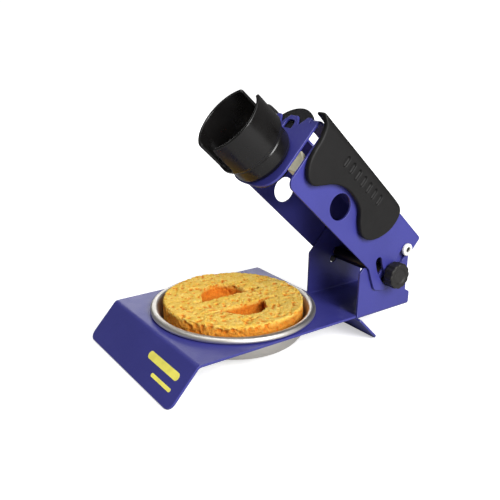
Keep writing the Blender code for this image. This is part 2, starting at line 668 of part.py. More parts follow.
# ---- nylon guide blocks inside the channel -----------------------------------------------------
def make_guide_blocks():
    slack = 0.35
    inner, outer = 12.8, CHANNEL_HALF - SHEET - slack
    # (distance from the middle, rise)
    section = [(inner, -25.0), (outer, -25.0), (outer, -19.6), (13.6, -14.6), (inner, -14.6)]
    for side, tag in SIDES:
        loop = [(CHANNEL_MID + side * out, rise) for out, rise in section]
        guide = prism("guide_block_" + tag, [facing(loop, side)], 84.4, 90.0, "holder end",
                      CREAM_NYLON, HOLDER)
        # a moulded peg holds the block in the side plate's hole
        low, high = sorted((CHANNEL_MID + side * (outer - 1.0),
                            CHANNEL_MID + side * (outer + slack + SHEET - 0.1)))
        peg = rod("peg_" + tag, 1.7, low, high, holder_along_x(PEG_RUN, PEG_RISE), 16,
                  parent=HOLDER)
        boolean(guide, peg, "UNION")


# ---- rubber grip cover over the web and both side plates ----------------------------------------
def make_grip():
    # (run, rise) points of the smooth side view
    outline = smooth_loop([
        (97.0, 1.9), (94.2, -3.2), (92.4, -9.0), (91.9, -15.0), (90.2, -20.6), (86.4, -24.7),
        (81.6, -25.2), (76.6, -21.4), (71.4, -17.2), (64.6, -14.6), (57.6, -14.4),
        (50.4, -16.4), (45.2, -21.4), (39.6, -24.5), (33.8, -23.2), (29.2, -18.8),
        (26.0, -12.8), (25.2, -6.2), (27.2, -0.8), (31.6, 1.2), (50.0, 1.6), (75.0, 1.9),
    ], 3)
    skin = 2.9              # thickness over the side plates
    grip = prism("grip_cover", [outline], -(CHANNEL_NEAR + GAP + skin),
                 -(CHANNEL_FAR - GAP - skin), "holder side", RUBBER, HOLDER)
    inside = inner_section(CHANNEL_FAR - GAP, CHANNEL_NEAR + GAP, GAP, 1.6)
    cut_prism(grip, "cut_grip_inside", inside, *ALONG_HOLDER, "holder end")
    round_long_edges(grip, "cut_grip_round_", CHANNEL_HALF + GAP + skin, 2.0, 3.4, 15)
    # (X, run, radius): open towards the mouth
    notch = filleted([
        (CHANNEL_MID - 14.6, 66.0, 9.0), (CHANNEL_MID + 14.6, 66.0, 9.0),
        (CHANNEL_MID + 17.6, 104, 0), (CHANNEL_MID - 17.6, 104, 0),
    ], 6)
    cut_prism(grip, "cut_grip_notch", notch, -3.0, 0.5, "holder plan")


# ---- clamp bolt, washers, spacer and knob --------------------------------------------------------
FAR_FACE, NEAR_FACE = CHANNEL_FAR - GAP, CHANNEL_NEAR + GAP


def make_clamp():
    axis = holder_along_x(CLAMP_RUN, CLAMP_RISE)
    # (radius, X): the shank from its near tip down to the head on the far side
    bolt = [
        (0, 49.4), (1.7, 49.4), (2.0, 49.1), (2.0, FAR_FACE - 0.9), (3.9, FAR_FACE - 0.9),
        (3.9, FAR_FACE - 2.2), (3.2, FAR_FACE - 3.1), (0, FAR_FACE - 3.3),
    ]
    turned("clamp_bolt", bolt, axis, ZINC, HOLDER, 24)
    washer_r, washer_thick = 4.5, 0.6
    tube("clamp_washer_far", CLAMP_BORE, washer_r, FAR_FACE - washer_thick, FAR_FACE, axis,
         ZINC, HOLDER, 28)
    tube("clamp_washer_near", CLAMP_BORE, washer_r, NEAR_FACE, NEAR_FACE + washer_thick, axis,
         ZINC, HOLDER, 28)
    tube("spacer_tube", CLAMP_BORE, 3.4, WALL_FAR + SHEET + GAP, WALL_NEAR - SHEET - GAP,
         axis, ALUMINIUM, HOLDER, 24)


def make_knob():
    inner_end, outer_end = NEAR_FACE + 0.9, 50.4
    axis = along_x(0, 0)
    tube("knob_insert", CLAMP_BORE, 3.4, inner_end + 0.1, inner_end + 4.3, axis, BRASS, KNOB,
         24)
    crest_r, flute_depth, flutes, points = 6.72, 0.42, 12, 72
    outline = []
    for i in range(points):
        angle = math.tau * i / points
        radius = crest_r - flute_depth * (0.5 - 0.5 * math.cos(flutes * angle)) ** 1.5
        outline.append((radius * math.cos(angle), radius * math.sin(angle)))
    knob = prism("clamp_knob", [outline], inner_end, outer_end, "side", KNOB_RESIN, KNOB)
    boolean(knob, rod("cut_knob_bore", 3.7, inner_end - 1, inner_end + 4.6, axis, 24,
                      parent=KNOB))


# ---- pivots: shouldered screws in flanged nylon bushes, with nuts and guide pins -----------------
def make_pivots():
    """Profiles are (radius, distance outward from the channel's middle)."""
    out = CHANNEL_HALF + GAP
    wall_inner = CHANNEL_HALF - (CHANNEL_NEAR - WALL_NEAR) - SHEET
    bush_end = CHANNEL_HALF - SHEET - 0.05
    screw_end = wall_inner - 3.2
    bush = [
        (1.5, out + 1.5), (2.9, out + 1.5), (3.2, out + 1.2), (3.2, out), (2.1, out),
        (2.1, bush_end), (1.5, bush_end),
    ]
    screw = [
        (0, out + 1.0), (0.9, out + 1.0), (1.15, out + 0.8), (1.15, screw_end), (0, screw_end),
    ]
    nut = [arc(PIVOT_Y, PIVOT_Z, 2.9, 30, 390, 6)[:-1], circle(PIVOT_Y, PIVOT_Z, 1.45, 18)]
    nut_face = wall_inner - GAP
    for side, tag in SIDES:
        axis = moved(CHANNEL_MID, PIVOT_Y, PIVOT_Z) @ turn(90 * side, "Y")
        turned("pivot_bush_" + tag, bush, axis, WHITE_NYLON, STAND, 28, ring=True)
        turned("pivot_screw_" + tag, screw, axis, PIN_STEEL, STAND, 20)
        low, high = sorted((CHANNEL_MID + side * nut_face,
                            CHANNEL_MID + side * (nut_face - 2.2)))
        prism("pivot_nut_" + tag, nut, low, high, "side", ZINC, STAND)
        low, high = sorted((CHANNEL_MID + side * (wall_inner + 0.1),
                            CHANNEL_MID + side * (CHANNEL_HALF - 0.05)))
        rod("guide_pin_" + tag, 1.8, low, high, along_x(GUIDE_Y, GUIDE_Z), 20, PIN_STEEL,
            STAND)


make_base_plate()
make_bracket()
make_tray()
make_sponge()
make_channel()
make_collar()
make_clip()
make_guide_blocks()
make_grip()
make_clamp()
make_knob()
make_pivots()
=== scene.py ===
"""Soldering iron stand: a pressed base plate with a round tray and sponge, an upright bracket
at the rear on the +X side, and a tilted holder channel that ends in a collar.

Row frame: X across (near = +X, far = -X), Y from the front lip to the rear, Z up.
Dimensions are in mm; make() turns them into metres.
Holder drawings use `along` (up the channel, rear corner to mouth) and `rise` (square to the
web, 0 on its outside face). A drawing's third number per corner is its fillet radius.
"""
import math

import bmesh
import bpy
import numpy as np
from mathutils import Matrix, Vector, noise
from mathutils.kdtree import KDTree


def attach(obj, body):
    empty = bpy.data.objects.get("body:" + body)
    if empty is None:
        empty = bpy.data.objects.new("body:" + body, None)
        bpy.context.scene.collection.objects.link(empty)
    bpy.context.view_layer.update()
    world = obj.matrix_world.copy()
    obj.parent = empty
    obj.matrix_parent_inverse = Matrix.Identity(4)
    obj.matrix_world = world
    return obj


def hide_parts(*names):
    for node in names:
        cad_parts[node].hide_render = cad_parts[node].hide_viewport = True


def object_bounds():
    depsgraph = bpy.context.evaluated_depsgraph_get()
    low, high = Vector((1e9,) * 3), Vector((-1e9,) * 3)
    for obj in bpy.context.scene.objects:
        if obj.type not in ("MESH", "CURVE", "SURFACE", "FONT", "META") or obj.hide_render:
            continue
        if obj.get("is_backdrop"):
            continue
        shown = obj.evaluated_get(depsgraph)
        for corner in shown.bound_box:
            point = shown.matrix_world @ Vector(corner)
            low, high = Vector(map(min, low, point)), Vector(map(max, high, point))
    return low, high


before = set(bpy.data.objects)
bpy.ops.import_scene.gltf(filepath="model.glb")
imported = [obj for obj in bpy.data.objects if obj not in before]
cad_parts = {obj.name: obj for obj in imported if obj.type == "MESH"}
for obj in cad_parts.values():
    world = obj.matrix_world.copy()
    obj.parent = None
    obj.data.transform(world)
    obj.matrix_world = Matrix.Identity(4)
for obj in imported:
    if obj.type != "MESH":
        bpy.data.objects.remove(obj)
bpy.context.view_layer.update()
scene = bpy.context.scene

MM = 0.001
SIDES = ((1, "near"), (-1, "far"))

# ---- driving dimensions --------------------------------------------------------------------
SHEET = 1.2                             # thickness of all three pressings
PLATE_TOP = 17.7
PLATE_HALF = 42.5
PLATE_FRONT_Y, PLATE_REAR_Y = 15.1, 107.3     # sharp corners of the two folds
TRAY_Y = 61.0
BRACKET_FAR, BRACKET_NEAR = 3.28, PLATE_HALF  # outside faces of the bracket walls
MID_X = (BRACKET_NEAR + BRACKET_FAR) / 2
BRACKET_HALF = (BRACKET_NEAR - BRACKET_FAR) / 2
CHANNEL_HALF = 21.14
SEAT_HALF = CHANNEL_HALF + 0.3          # faces that washers and bushes sit on
GRIP_HALF = CHANNEL_HALF + 3.2
TILT_DEG = 42.55
COS_TILT, SIN_TILT = math.cos(math.radians(TILT_DEG)), math.sin(math.radians(TILT_DEG))
PIVOT = (4.7, -10.9)                    # (along, rise)
CLAMP = (4.4, -25.6)
PEG = (87.2, -20.0)
MOUTH_RISE = -24.2
CLAMP_HOLE = 2.3
GUIDE_REACH, GUIDE_DEG = 19.2, 228.0    # guide pin about the pivot, in the Y-Z plane
GUIDE_HALF = 2.1


# ---- frames --------------------------------------------------------------------------------
def holder_yz(along, rise):
    """Row-frame (Y, Z) of a holder point, in mm."""
    return (148.19 - COS_TILT * along + SIN_TILT * rise,
            52.66 + SIN_TILT * along + COS_TILT * rise)


def from_x_along(points):
    x, along, rise = points.T
    return np.stack([x, *holder_yz(along, rise)], 1)


def from_x_rise(points):
    return from_x_along(points[:, [0, 2, 1]])


def from_along_rise(points):
    return from_x_along(points[:, [2, 0, 1]])


def from_yz(points):
    return points[:, [2, 0, 1]]


def at_tray(points):
    return points + np.array((0.0, TRAY_Y, 0.0))


def across(y, z, start=0.0, side=1):
    """Mapping that lays a turned piece on an X axis through (y, z)."""
    return lambda points: np.stack(
        [start + side * points[:, 2], y + points[:, 0], z + points[:, 1]], 1)


PIVOT_Y, PIVOT_Z = PIVOT_YZ = holder_yz(*PIVOT)
CLAMP_Y, CLAMP_Z = holder_yz(*CLAMP)
GUIDE_YZ = (PIVOT_Y + GUIDE_REACH * math.cos(math.radians(GUIDE_DEG)),
            PIVOT_Z + GUIDE_REACH * math.sin(math.radians(GUIDE_DEG)))


# ---- outlines ------------------------------------------------------------------------------
def arc(centre, radius, start, end, count):
    angles = [math.radians(start + (end - start) * i / count) for i in range(count + 1)]
    return [(centre[0] + radius * math.cos(angle), centre[1] + radius * math.sin(angle))
            for angle in angles]


def circle(centre, radius, count):
    return arc(centre, radius, 0, 360, count)[:-1]


def slot(centre, radius, start, end, half):
    """Curved slot about a centre, with round ends."""
    first = arc(centre, radius, start, end, 1)[0]
    last = arc(centre, radius, end, start, 1)[0]
    return (arc(centre, radius + half, start, end, 24)
            + arc(last, half, end, end + 180, 14)[1:-1]
            + arc(centre, radius - half, end, start, 24)
            + arc(first, half, start + 180, start + 360, 14)[1:-1])


def filleted(corners, step=0.12):
    """A closed outline from (x, y, radius) corners, each rounded by its own radius."""
    outline = []
    for i, (x, y, radius) in enumerate(corners):
        corner = Vector((x, y))
        back = Vector(corners[i - 1][:2]) - corner
        ahead = Vector(corners[(i + 1) % len(corners)][:2]) - corner
        if radius <= 0 or back.length < 1e-6 or ahead.length < 1e-6:
            outline.append((x, y))
            continue
        shortest = min(back.length, ahead.length)
        back.normalize()
        ahead.normalize()
        half = back.angle(ahead) / 2
        if half > math.radians(89.5):
            outline.append((x, y))
            continue
        radius = min(radius, 0.49 * shortest * math.tan(half))
        reach = radius / math.tan(half)
        centre = corner + (back + ahead).normalized() * (radius / math.sin(half))
        start = corner + back * reach - centre
        turn = start.angle_signed(corner + ahead * reach - centre)
        count = max(3, int(abs(turn) / max(0.08, min(0.35, step / radius))))
        for k in range(count + 1):
            outline.append(tuple(centre + Matrix.Rotation(-turn * k / count, 2) @ start))
    return outline


def box(x0, x1, y0, y1, radius):
    return filleted([(x0, y0, radius), (x1, y0, radius), (x1, y1, radius), (x0, y1, radius)])


def smooth_loop(points, steps):
    """Closed Catmull-Rom curve through the points."""
    outline = []
    count = len(points)
    for i in range(count):
        p0, p1, p2, p3 = (Vector(points[(i + k - 1) % count]) for k in range(4))
        for k in range(steps):
            t = k / steps
            outline.append(tuple(0.5 * (
                2 * p1 + (p2 - p0) * t + (2 * p0 - 5 * p1 + 4 * p2 - p3) * t * t
                + (3 * p1 - p0 - 3 * p2 + p3) * t ** 3)))
    return outline


# ---- meshes: parts are (points, faces, normals or None) ------------------------------------
def add_object(name, data):
    obj = bpy.data.objects.new(name, data)
    scene.collection.objects.link(obj)
    return obj


def outward(bm):
    """Consistent faces that point out of the solid."""
    bmesh.ops.recalc_face_normals(bm, faces=bm.faces)
    if bm.calc_volume(signed=True) < 0:
        bmesh.ops.reverse_faces(bm, faces=bm.faces)


def solid_mesh(name, points, faces):
    mesh = bpy.data.meshes.new(name)
    mesh.from_pydata([tuple(point) for point in points], [], faces)
    bm = bmesh.new()
    bm.from_mesh(mesh)
    outward(bm)
    bm.to_mesh(mesh)
    bm.free()
    return mesh


def mesh_from(obj):
    """A new mesh from the object with its modifiers applied."""
    graph = bpy.context.evaluated_depsgraph_get()
    graph.update()
    return bpy.data.meshes.new_from_object(obj.evaluated_get(graph))


def slab(loops, low, high, rim=0.0, resolution=2, cuts=()):
    """Flat outline with holes, low..high thick, rims rounded by `rim`.

    Cuts are (axis, value) planes that give later bends their vertices."""
    curve = bpy.data.curves.new("outline", "CURVE")
    curve.dimensions = "2D"
    curve.fill_mode = "BOTH"
    curve.extrude = (high - low) / 2 - rim
    if rim > 0:
        curve.bevel_depth = rim
        curve.bevel_resolution = resolution
        curve.offset = -rim
    for loop in loops:
        spline = curve.splines.new("POLY")
        spline.points.add(len(loop) - 1)
        for point, (x, y) in zip(spline.points, loop):
            point.co = (x, y, 0, 1)
        spline.use_cyclic_u = True
    source = add_object("outline", curve)
    mesh = mesh_from(source)
    bpy.data.objects.remove(source, do_unlink=True)
    bpy.data.curves.remove(curve)
    bm = bmesh.new()
    bm.from_mesh(mesh)
    bpy.data.meshes.remove(mesh)
    bmesh.ops.remove_doubles(bm, verts=bm.verts, dist=2e-4)
    bmesh.ops.translate(bm, verts=bm.verts, vec=(0, 0, (low + high) / 2))
    for axis, value in cuts:
        place, normal = [0.0, 0.0, 0.0], [0.0, 0.0, 0.0]
        place[axis], normal[axis] = value, 1.0
        bmesh.ops.bisect_plane(bm, geom=bm.verts[:] + bm.edges[:] + bm.faces[:],
                               dist=1e-4, plane_co=place, plane_no=normal)
    outward(bm)
    bm.verts.ensure_lookup_table()
    bm.verts.index_update()
    points = np.array([vert.co for vert in bm.verts], float)
    # sideways direction at each vertex, from the walls and rims that meet there
    flat = np.zeros((len(points), 2))
    for face in bm.faces:
        normal = face.normal
        side = math.hypot(normal.x, normal.y)
        if side < 0.05:
            continue
        for loop in face.loops:
            flat[loop.vert.index] += np.array((normal.x, normal.y)) / side * loop.calc_angle()
    length = np.linalg.norm(flat, axis=1, keepdims=True)
    on_rim = length > 1e-9
    flat = np.divide(flat, length, out=np.zeros_like(flat), where=on_rim)
    rim = max(rim, 1e-6)
    z = points[:, 2]
    up = np.clip((z - (high - rim)) / rim, 0, 1) - np.clip(((low + rim) - z) / rim, 0, 1)
    up = np.where(on_rim[:, 0], up, np.sign(z - (low + high) / 2))
    sideways = np.sqrt(np.clip(1 - up ** 2, 0, 1))
    normals = np.concatenate([flat * sideways[:, None], up[:, None]], 1)
    faces = [[vert.index for vert in face.verts] for face in bm.faces]
    bm.free()
    return points, faces, normals


def lathe(profile, steps, ring=True, step=0.1, radial=None):
    """Turned piece about Z from (radius, height, fillet) points.

    A ring profile is closed; an open one runs from axis to axis."""
    if ring:
        line = filleted(profile, step)
    else:
        # two helper corners beyond the axis close the outline, then drop out
        closed = [(-5.0, profile[0][1], 0), *profile, (-5.0, profile[-1][1], 0)]
        line = [point for point in filleted(closed, step) if point[0] > -4.9]
    kept = [line[0]]
    for point in line[1:]:
        if math.hypot(point[0] - kept[-1][0], point[1] - kept[-1][1]) > 1e-3:
            kept.append(point)
    if ring and math.hypot(kept[0][0] - kept[-1][0], kept[0][1] - kept[-1][1]) < 1e-3:
        kept.pop()
    angles = np.arange(steps) / steps * math.tau
    points, faces = [], []
    index = np.zeros((len(kept), steps), int)
    for i, (radius, height) in enumerate(kept):
        if abs(radius) < 1e-4:
            index[i, :] = len(points)
            points.append((0.0, 0.0, height))
            continue
        around = np.full(steps, radius)
        if radial is not None:
            around = radius * radial(angles, radius)
        index[i, :] = np.arange(len(points), len(points) + steps)
        points += list(zip(around * np.cos(angles), around * np.sin(angles),
                           np.full(steps, height)))
    for i in range(len(kept) if ring else len(kept) - 1):
        j = (i + 1) % len(kept)
        for k in range(steps):
            after = (k + 1) % steps
            corners = (index[i, k], index[i, after], index[j, after], index[j, k])
            face = list(dict.fromkeys(int(corner) for corner in corners))
            if len(face) > 2:
                faces.append(face)
    return np.array(points, float), faces, None


def placed(parts, mapping):
    """Carries the points through a mapping, and any normals with them."""
    points, faces, normals = parts
    if normals is not None:
        normals = mapping(points + normals * 0.01) - mapping(points - normals * 0.01)
        normals /= np.maximum(np.linalg.norm(normals, axis=1, keepdims=True), 1e-12)
    return mapping(points), faces, normals


def make(name, parts, body, material, node=None, smooth_angle=38):
    """A finished piece on its body: `node` is the CAD piece it replaces. The smooth angle (degrees)
    serves parts without normals."""
    points, faces, normals = parts
    mesh = solid_mesh(name, points * MM, faces)
    mesh.shade_smooth()
    if normals is not None:
        mesh.normals_split_custom_set_from_vertices([tuple(normal) for normal in normals])
    else:
        mesh.set_sharp_from_angle(angle=math.radians(smooth_angle))
    mesh.materials.append(material)
    obj = add_object(name, mesh)
    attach(obj, body)
    if node:
        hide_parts(node)
    return obj


def turned(name, profile, steps, mapping, body, material, node=None,
           ring=True, step=0.06, radial=None):
    parts = placed(lathe(profile, steps, ring, step, radial), mapping)
    make(name, parts, body, material, node)


def apply_modifiers(obj):
    mesh = mesh_from(obj)
    obj.modifiers.clear()
    obj.data = mesh


def carved(base, tools):
    """A temporary object: the base parts less the tool parts."""
    obj = add_object("blank", solid_mesh("blank", *base[:2]))
    cutters = []
    for tool in tools:
        cutter = add_object("tool", solid_mesh("tool", *tool[:2]))
        cutters.append(cutter)
        cut = obj.modifiers.new("cut", "BOOLEAN")
        cut.operation = "DIFFERENCE"
        cut.solver = "EXACT"
        cut.object = cutter
    apply_modifiers(obj)
    for cutter in cutters:
        bpy.data.objects.remove(cutter, do_unlink=True)
    return obj


def remeshed(obj, voxel, smooth):
    """Parts of the remeshed, smoothed object, with vertex normals; the object goes."""
    remesh = obj.modifiers.new("voxel", "REMESH")
    remesh.mode = "VOXEL"
    remesh.voxel_size = voxel
    obj.modifiers.new("smooth", "SMOOTH").iterations = smooth
    apply_modifiers(obj)
    mesh = obj.data
    arrays = {}
    for key in ("co", "normal"):
        values = np.zeros(len(mesh.vertices) * 3)
        mesh.vertices.foreach_get(key, values)
        arrays[key] = values.reshape(-1, 3)
    faces = [list(polygon.vertices) for polygon in mesh.polygons]
    bpy.data.objects.remove(obj, do_unlink=True)
    return arrays["co"], faces, arrays["normal"]


# ---- material nodes ------------------------------------------------------------------------
class Shader:
    """A Principled material with short calls for its nodes; lengths are in mm."""

    def __init__(self, name):
        self.material = bpy.data.materials.new(name)
        self.material.use_nodes = True
        self.tree = self.material.node_tree
        self.principled = self.tree.nodes["Principled BSDF"]
        position = self.add("ShaderNodeTexCoord").outputs["Object"]
        self.mm = self.vector("SCALE", position, scale=1000.0)

    def add(self, kind, **props):
        node = self.tree.nodes.new(kind)
        for key, value in props.items():
            setattr(node, key, value)
        return node

    def put(self, socket, value):
        """Links a socket, or sets a value."""
        if isinstance(value, bpy.types.NodeSocket):
            self.tree.links.new(value, socket)
        elif isinstance(value, tuple) and socket.type == "RGBA":
            socket.default_value = (*value, 1.0)
        else:
            socket.default_value = value

    def math(self, operation, first, second):
        node = self.add("ShaderNodeMath", operation=operation)
        self.put(node.inputs[0], first)
        self.put(node.inputs[1], second)
        return node.outputs[0]

    def plus(self, first, second):
        return self.math("ADD", first, second)

    def times(self, first, second):
        return self.math("MULTIPLY", first, second)

    def vector(self, operation, first, second=None, scale=None):
        node = self.add("ShaderNodeVectorMath", operation=operation)
        self.put(node.inputs[0], first)
        if second is not None:
            self.put(node.inputs[1], second)
        if scale is not None:
            self.put(node.inputs["Scale"], scale)
        return node.outputs["Value" if operation in ("DOT_PRODUCT", "LENGTH") else "Vector"]

    def noise(self, size, detail=3.0, rough=0.5, vector=None):
        """Fractal noise with features about `size` across, 0..1."""
        node = self.add("ShaderNodeTexNoise")
        self.put(node.inputs["Vector"], self.mm if vector is None else vector)
        node.inputs["Scale"].default_value = 1.0 / size
        node.inputs["Detail"].default_value = detail
        node.inputs["Roughness"].default_value = rough
        return node.outputs["Fac"]

    def cells(self, size):
        node = self.add("ShaderNodeTexVoronoi")
        self.put(node.inputs["Vector"], self.mm)
        node.inputs["Scale"].default_value = 1.0 / size
        return node.outputs["Distance"]

    def ramp(self, value, over, to=(0.0, 1.0)):
        """Smooth step of a value over one range to another."""
        node = self.add("ShaderNodeMapRange", interpolation_type="SMOOTHSTEP")
        self.put(node.inputs["Value"], value)
        node.inputs["From Min"].default_value = over[0]
        node.inputs["From Max"].default_value = over[1]
        node.inputs["To Min"].default_value = to[0]
        node.inputs["To Max"].default_value = to[1]
        return node.outputs["Result"]

    def mix(self, factor, first, second):
        node = self.add("ShaderNodeMix", data_type="RGBA")
        for i, value in ((0, factor), (6, first), (7, second)):
            self.put(node.inputs[i], value)
        return node.outputs[2]

    def bump(self, height, depth, strength=1.0, normal=None):
        node = self.add("ShaderNodeBump")
        node.inputs["Distance"].default_value = depth * MM
        node.inputs["Strength"].default_value = strength
        self.put(node.inputs["Height"], height)
        if normal is not None:
            self.put(node.inputs["Normal"], normal)
        return node.outputs["Normal"]

    def edges(self, radius, worn):
        """1 where the rounded normal's dot falls to `worn`, at edges; 0 on flat faces."""
        bevel = self.add("ShaderNodeBevel", samples=4)
        bevel.inputs["Radius"].default_value = radius * MM
        true = self.add("ShaderNodeNewGeometry").outputs["Normal"]
        dot = self.vector("DOT_PRODUCT", bevel.outputs["Normal"], true)
        return self.ramp(dot, over=(0.995, worn))

    def finish(self, **values):
        """Sets Principled inputs (underscores for spaces) and returns the material."""
        for key, value in values.items():
            self.put(self.principled.inputs[key.replace("_", " ")], value)
        return self.material


def scaled(rgb, factor):
    return tuple(min(1.0, channel * factor) for channel in rgb)


def enamel(name, rgb):
    """Powder-coated steel: soft orange peel, faint mottling, worn chipped edges, and a painted
    pale-blue highlight along all edges.
    """
    mat = Shader(name)
    cloud = mat.noise(size=28.0, rough=0.55)
    speckle = mat.noise(size=0.32, detail=2.0, rough=0.6)
    colour = mat.mix(mat.ramp(cloud, over=(0.35, 0.65)), scaled(rgb, 0.95), scaled(rgb, 1.05))
    speckle = mat.ramp(speckle, over=(0.62, 0.80), to=(0.0, 0.35))
    colour = mat.mix(speckle, colour, scaled(rgb, 1.55))
    # the pale-blue edge tint is a painted highlight along the rims; the chips below are wear
    rim = mat.edges(radius=0.42, worn=0.72)
    pale = (rgb[0] * 2.3 + 0.02, rgb[1] * 2.3 + 0.02, min(1.0, rgb[2] * 1.5 + 0.03))
    colour = mat.mix(mat.times(rim, 0.30), colour, pale)
    chip = mat.ramp(mat.noise(size=2.6, detail=4.0, rough=0.62), over=(0.655, 0.675))
    chip = mat.times(chip, mat.ramp(rim, over=(0.35, 0.6)))
    bare_steel = (0.30, 0.30, 0.33)
    colour = mat.mix(mat.times(chip, 0.55), colour, bare_steel)
    stretched = mat.vector("MULTIPLY", mat.mm, (1.4, 0.09, 0.5))
    scuff = mat.noise(size=1.0, detail=2.0, vector=stretched)
    scuff = mat.times(mat.ramp(scuff, over=(0.68, 0.76)),
                      mat.ramp(mat.noise(size=17.0, detail=2.0), over=(0.52, 0.7)))
    gloss = mat.ramp(mat.noise(size=11.0, rough=0.6), over=(0.3, 0.7), to=(0.36, 0.44))
    roughness = mat.plus(gloss, mat.times(scuff, 0.10))
    peel = mat.plus(mat.noise(size=1.15, detail=2.0),
                    mat.times(mat.noise(size=0.34, detail=1.0), 0.35))
    normal = mat.bump(peel, depth=0.045)
    normal = mat.bump(chip, depth=0.05, strength=-1.0, normal=normal)
    return mat.finish(Base_Color=colour, Roughness=roughness, Normal=normal,
                      Specular_IOR_Level=0.42, Coat_Weight=0.08, Coat_Roughness=0.24)


def moulded(name, rgb, rough, grain=0.22, grain_depth=0.02, wear=0.5, coat=0.0,
            subsurface=0.0, shine=0.5):
    """Moulded plastic or rubber: fine grain, handling polish and lighter worn edges."""
    mat = Shader(name)
    cloud = mat.noise(size=9.0, detail=4.0, rough=0.6)
    colour = mat.mix(mat.ramp(cloud, over=(0.3, 0.7)), scaled(rgb, 0.9), scaled(rgb, 1.12))
    rim = mat.edges(radius=0.5, worn=0.7)
    pale = tuple(channel * 1.5 + 0.012 for channel in rgb)
    colour = mat.mix(mat.times(rim, 0.4 * wear), colour, pale)
    dust = mat.times(mat.ramp(mat.noise(size=0.5, detail=2.0, rough=0.7), over=(0.66, 0.78)),
                     mat.ramp(mat.noise(size=13.0, detail=2.0), over=(0.45, 0.7)))
    dusty = tuple(channel * 1.6 + 0.03 for channel in rgb)
    colour = mat.mix(mat.times(dust, 0.25 * wear), colour, dusty)
    spread = 0.06
    polish = mat.ramp(mat.noise(size=6.0, detail=4.0, rough=0.62), over=(0.28, 0.72),
                      to=(max(0.05, rough - spread), min(1.0, rough + spread)))
    roughness = mat.math("SUBTRACT", polish, mat.times(rim, 0.08 * wear))
    height = mat.plus(mat.noise(size=grain, detail=2.0, rough=0.55),
                      mat.times(mat.noise(size=grain * 5, detail=2.0), 0.5))
    if subsurface:
        mat.finish(Subsurface_Weight=subsurface, Subsurface_Radius=(1.0, 0.9, 0.7),
                   Subsurface_Scale=0.0012)
    return mat.finish(Base_Color=colour, Roughness=roughness,
                      Normal=mat.bump(height, grain_depth), Coat_Weight=coat,
                      Coat_Roughness=0.16, Specular_IOR_Level=shine)


def metal(name, rgb, rough, turned_about=None, brush=0.02, spread=0.08):
    """Plated or bare metal; its brush lines run round a Z axis at turned_about, if given."""
    mat = Shader(name)
    if turned_about is not None:
        local = mat.vector("SUBTRACT", mat.mm, turned_about)
        radius = mat.vector("LENGTH", mat.vector("MULTIPLY", local, (1.0, 1.0, 0.0)))
        height = mat.vector("DOT_PRODUCT", local, (0.0, 0.0, 1.0))
        rings = mat.add("ShaderNodeCombineXYZ")
        lines_per_mm = 7.0
        mat.put(rings.inputs[0], mat.times(radius, lines_per_mm))
        mat.put(rings.inputs[1], mat.times(height, lines_per_mm))
        wander = mat.vector("SCALE", local, scale=0.045)
        wandering = mat.vector("ADD", rings.outputs[0], wander)
        lines = mat.noise(size=1.0, rough=0.7, vector=wandering)
    else:
        lines = mat.noise(size=0.35, rough=0.6)
    spots = mat.noise(size=7.0, detail=4.0, rough=0.6)
    tarnish = mat.ramp(spots, over=(0.35, 0.7), to=(0.0, 0.15))
    colour = mat.mix(tarnish, rgb, scaled(rgb, 0.62))
    shade = mat.ramp(lines, over=(0.3, 0.7), to=(0.0, 0.25))
    colour = mat.mix(shade, colour, scaled(rgb, 0.8))
    roughness = mat.plus(
        mat.ramp(lines, over=(0.3, 0.7), to=(rough - spread / 2, rough + spread / 2)),
        mat.ramp(spots, over=(0.4, 0.75), to=(0.0, spread)))
    return mat.finish(Base_Color=colour, Metallic=1.0, Roughness=roughness,
                      Normal=mat.bump(lines, brush))


def sponge_material():
    """Cellulose sponge; two mesh attributes pick its colours: painted shade in the pores and
    pockets, and painted shade on the outer wall.
    """
    mat = Shader("cellulose_sponge")
    painted_recess_shade = mat.add("ShaderNodeAttribute", attribute_name="painted_recess_shade").outputs["Fac"]
    side = mat.add("ShaderNodeAttribute", attribute_name="side").outputs["Fac"]
    blotch = mat.noise(size=6.5, detail=4.0, rough=0.6)
    fine = mat.noise(size=0.55, rough=0.65)
    grain = mat.noise(size=1.25, rough=0.62)
    top = mat.mix(mat.ramp(blotch, over=(0.3, 0.72)), (0.78, 0.49, 0.070), (0.85, 0.60, 0.140))
    # (noise, its range, amount, colour): darker grain, paler grain, orange flecks
    for value, over, to, rgb in (
            (grain, (0.36, 0.50), (0.55, 0.0), (0.80, 0.42, 0.050)),
            (grain, (0.54, 0.68), (0.0, 0.7), (0.95, 0.70, 0.22)),
            (fine, (0.60, 0.74), (0.0, 0.3), (0.76, 0.34, 0.030))):
        top = mat.mix(mat.ramp(value, over, to), top, rgb)
    # deep orange for pores and pockets: painted shade in the recesses
    recess_shade_colour = mat.mix(mat.ramp(fine, over=(0.35, 0.65)), (0.64, 0.17, 0.010), (0.75, 0.25, 0.022))
    # darker orange for the outer wall: painted shade on the sponge's sides
    wall = mat.mix(mat.ramp(blotch, over=(0.35, 0.65)), (0.60, 0.21, 0.019), (0.72, 0.31, 0.040))
    colour = mat.mix(side, top, wall)
    colour = mat.mix(mat.ramp(painted_recess_shade, over=(0.06, 0.75)), colour, recess_shade_colour)
    coarse_cells = mat.cells(size=0.62)
    fine_cells = mat.cells(size=0.3)
    height = mat.plus(mat.ramp(coarse_cells, over=(0.05, 0.6)),
                      mat.times(mat.ramp(fine_cells, over=(0.05, 0.55)), 0.5))
    height = mat.plus(height, mat.plus(mat.times(fine, 0.8), mat.times(grain, 1.6)))
    return mat.finish(Base_Color=colour, Roughness=0.92, Normal=mat.bump(height, depth=0.29),
                      Specular_IOR_Level=0.18, Subsurface_Weight=0.15,
                      Subsurface_Radius=(1.0, 0.45, 0.12), Subsurface_Scale=0.0016)


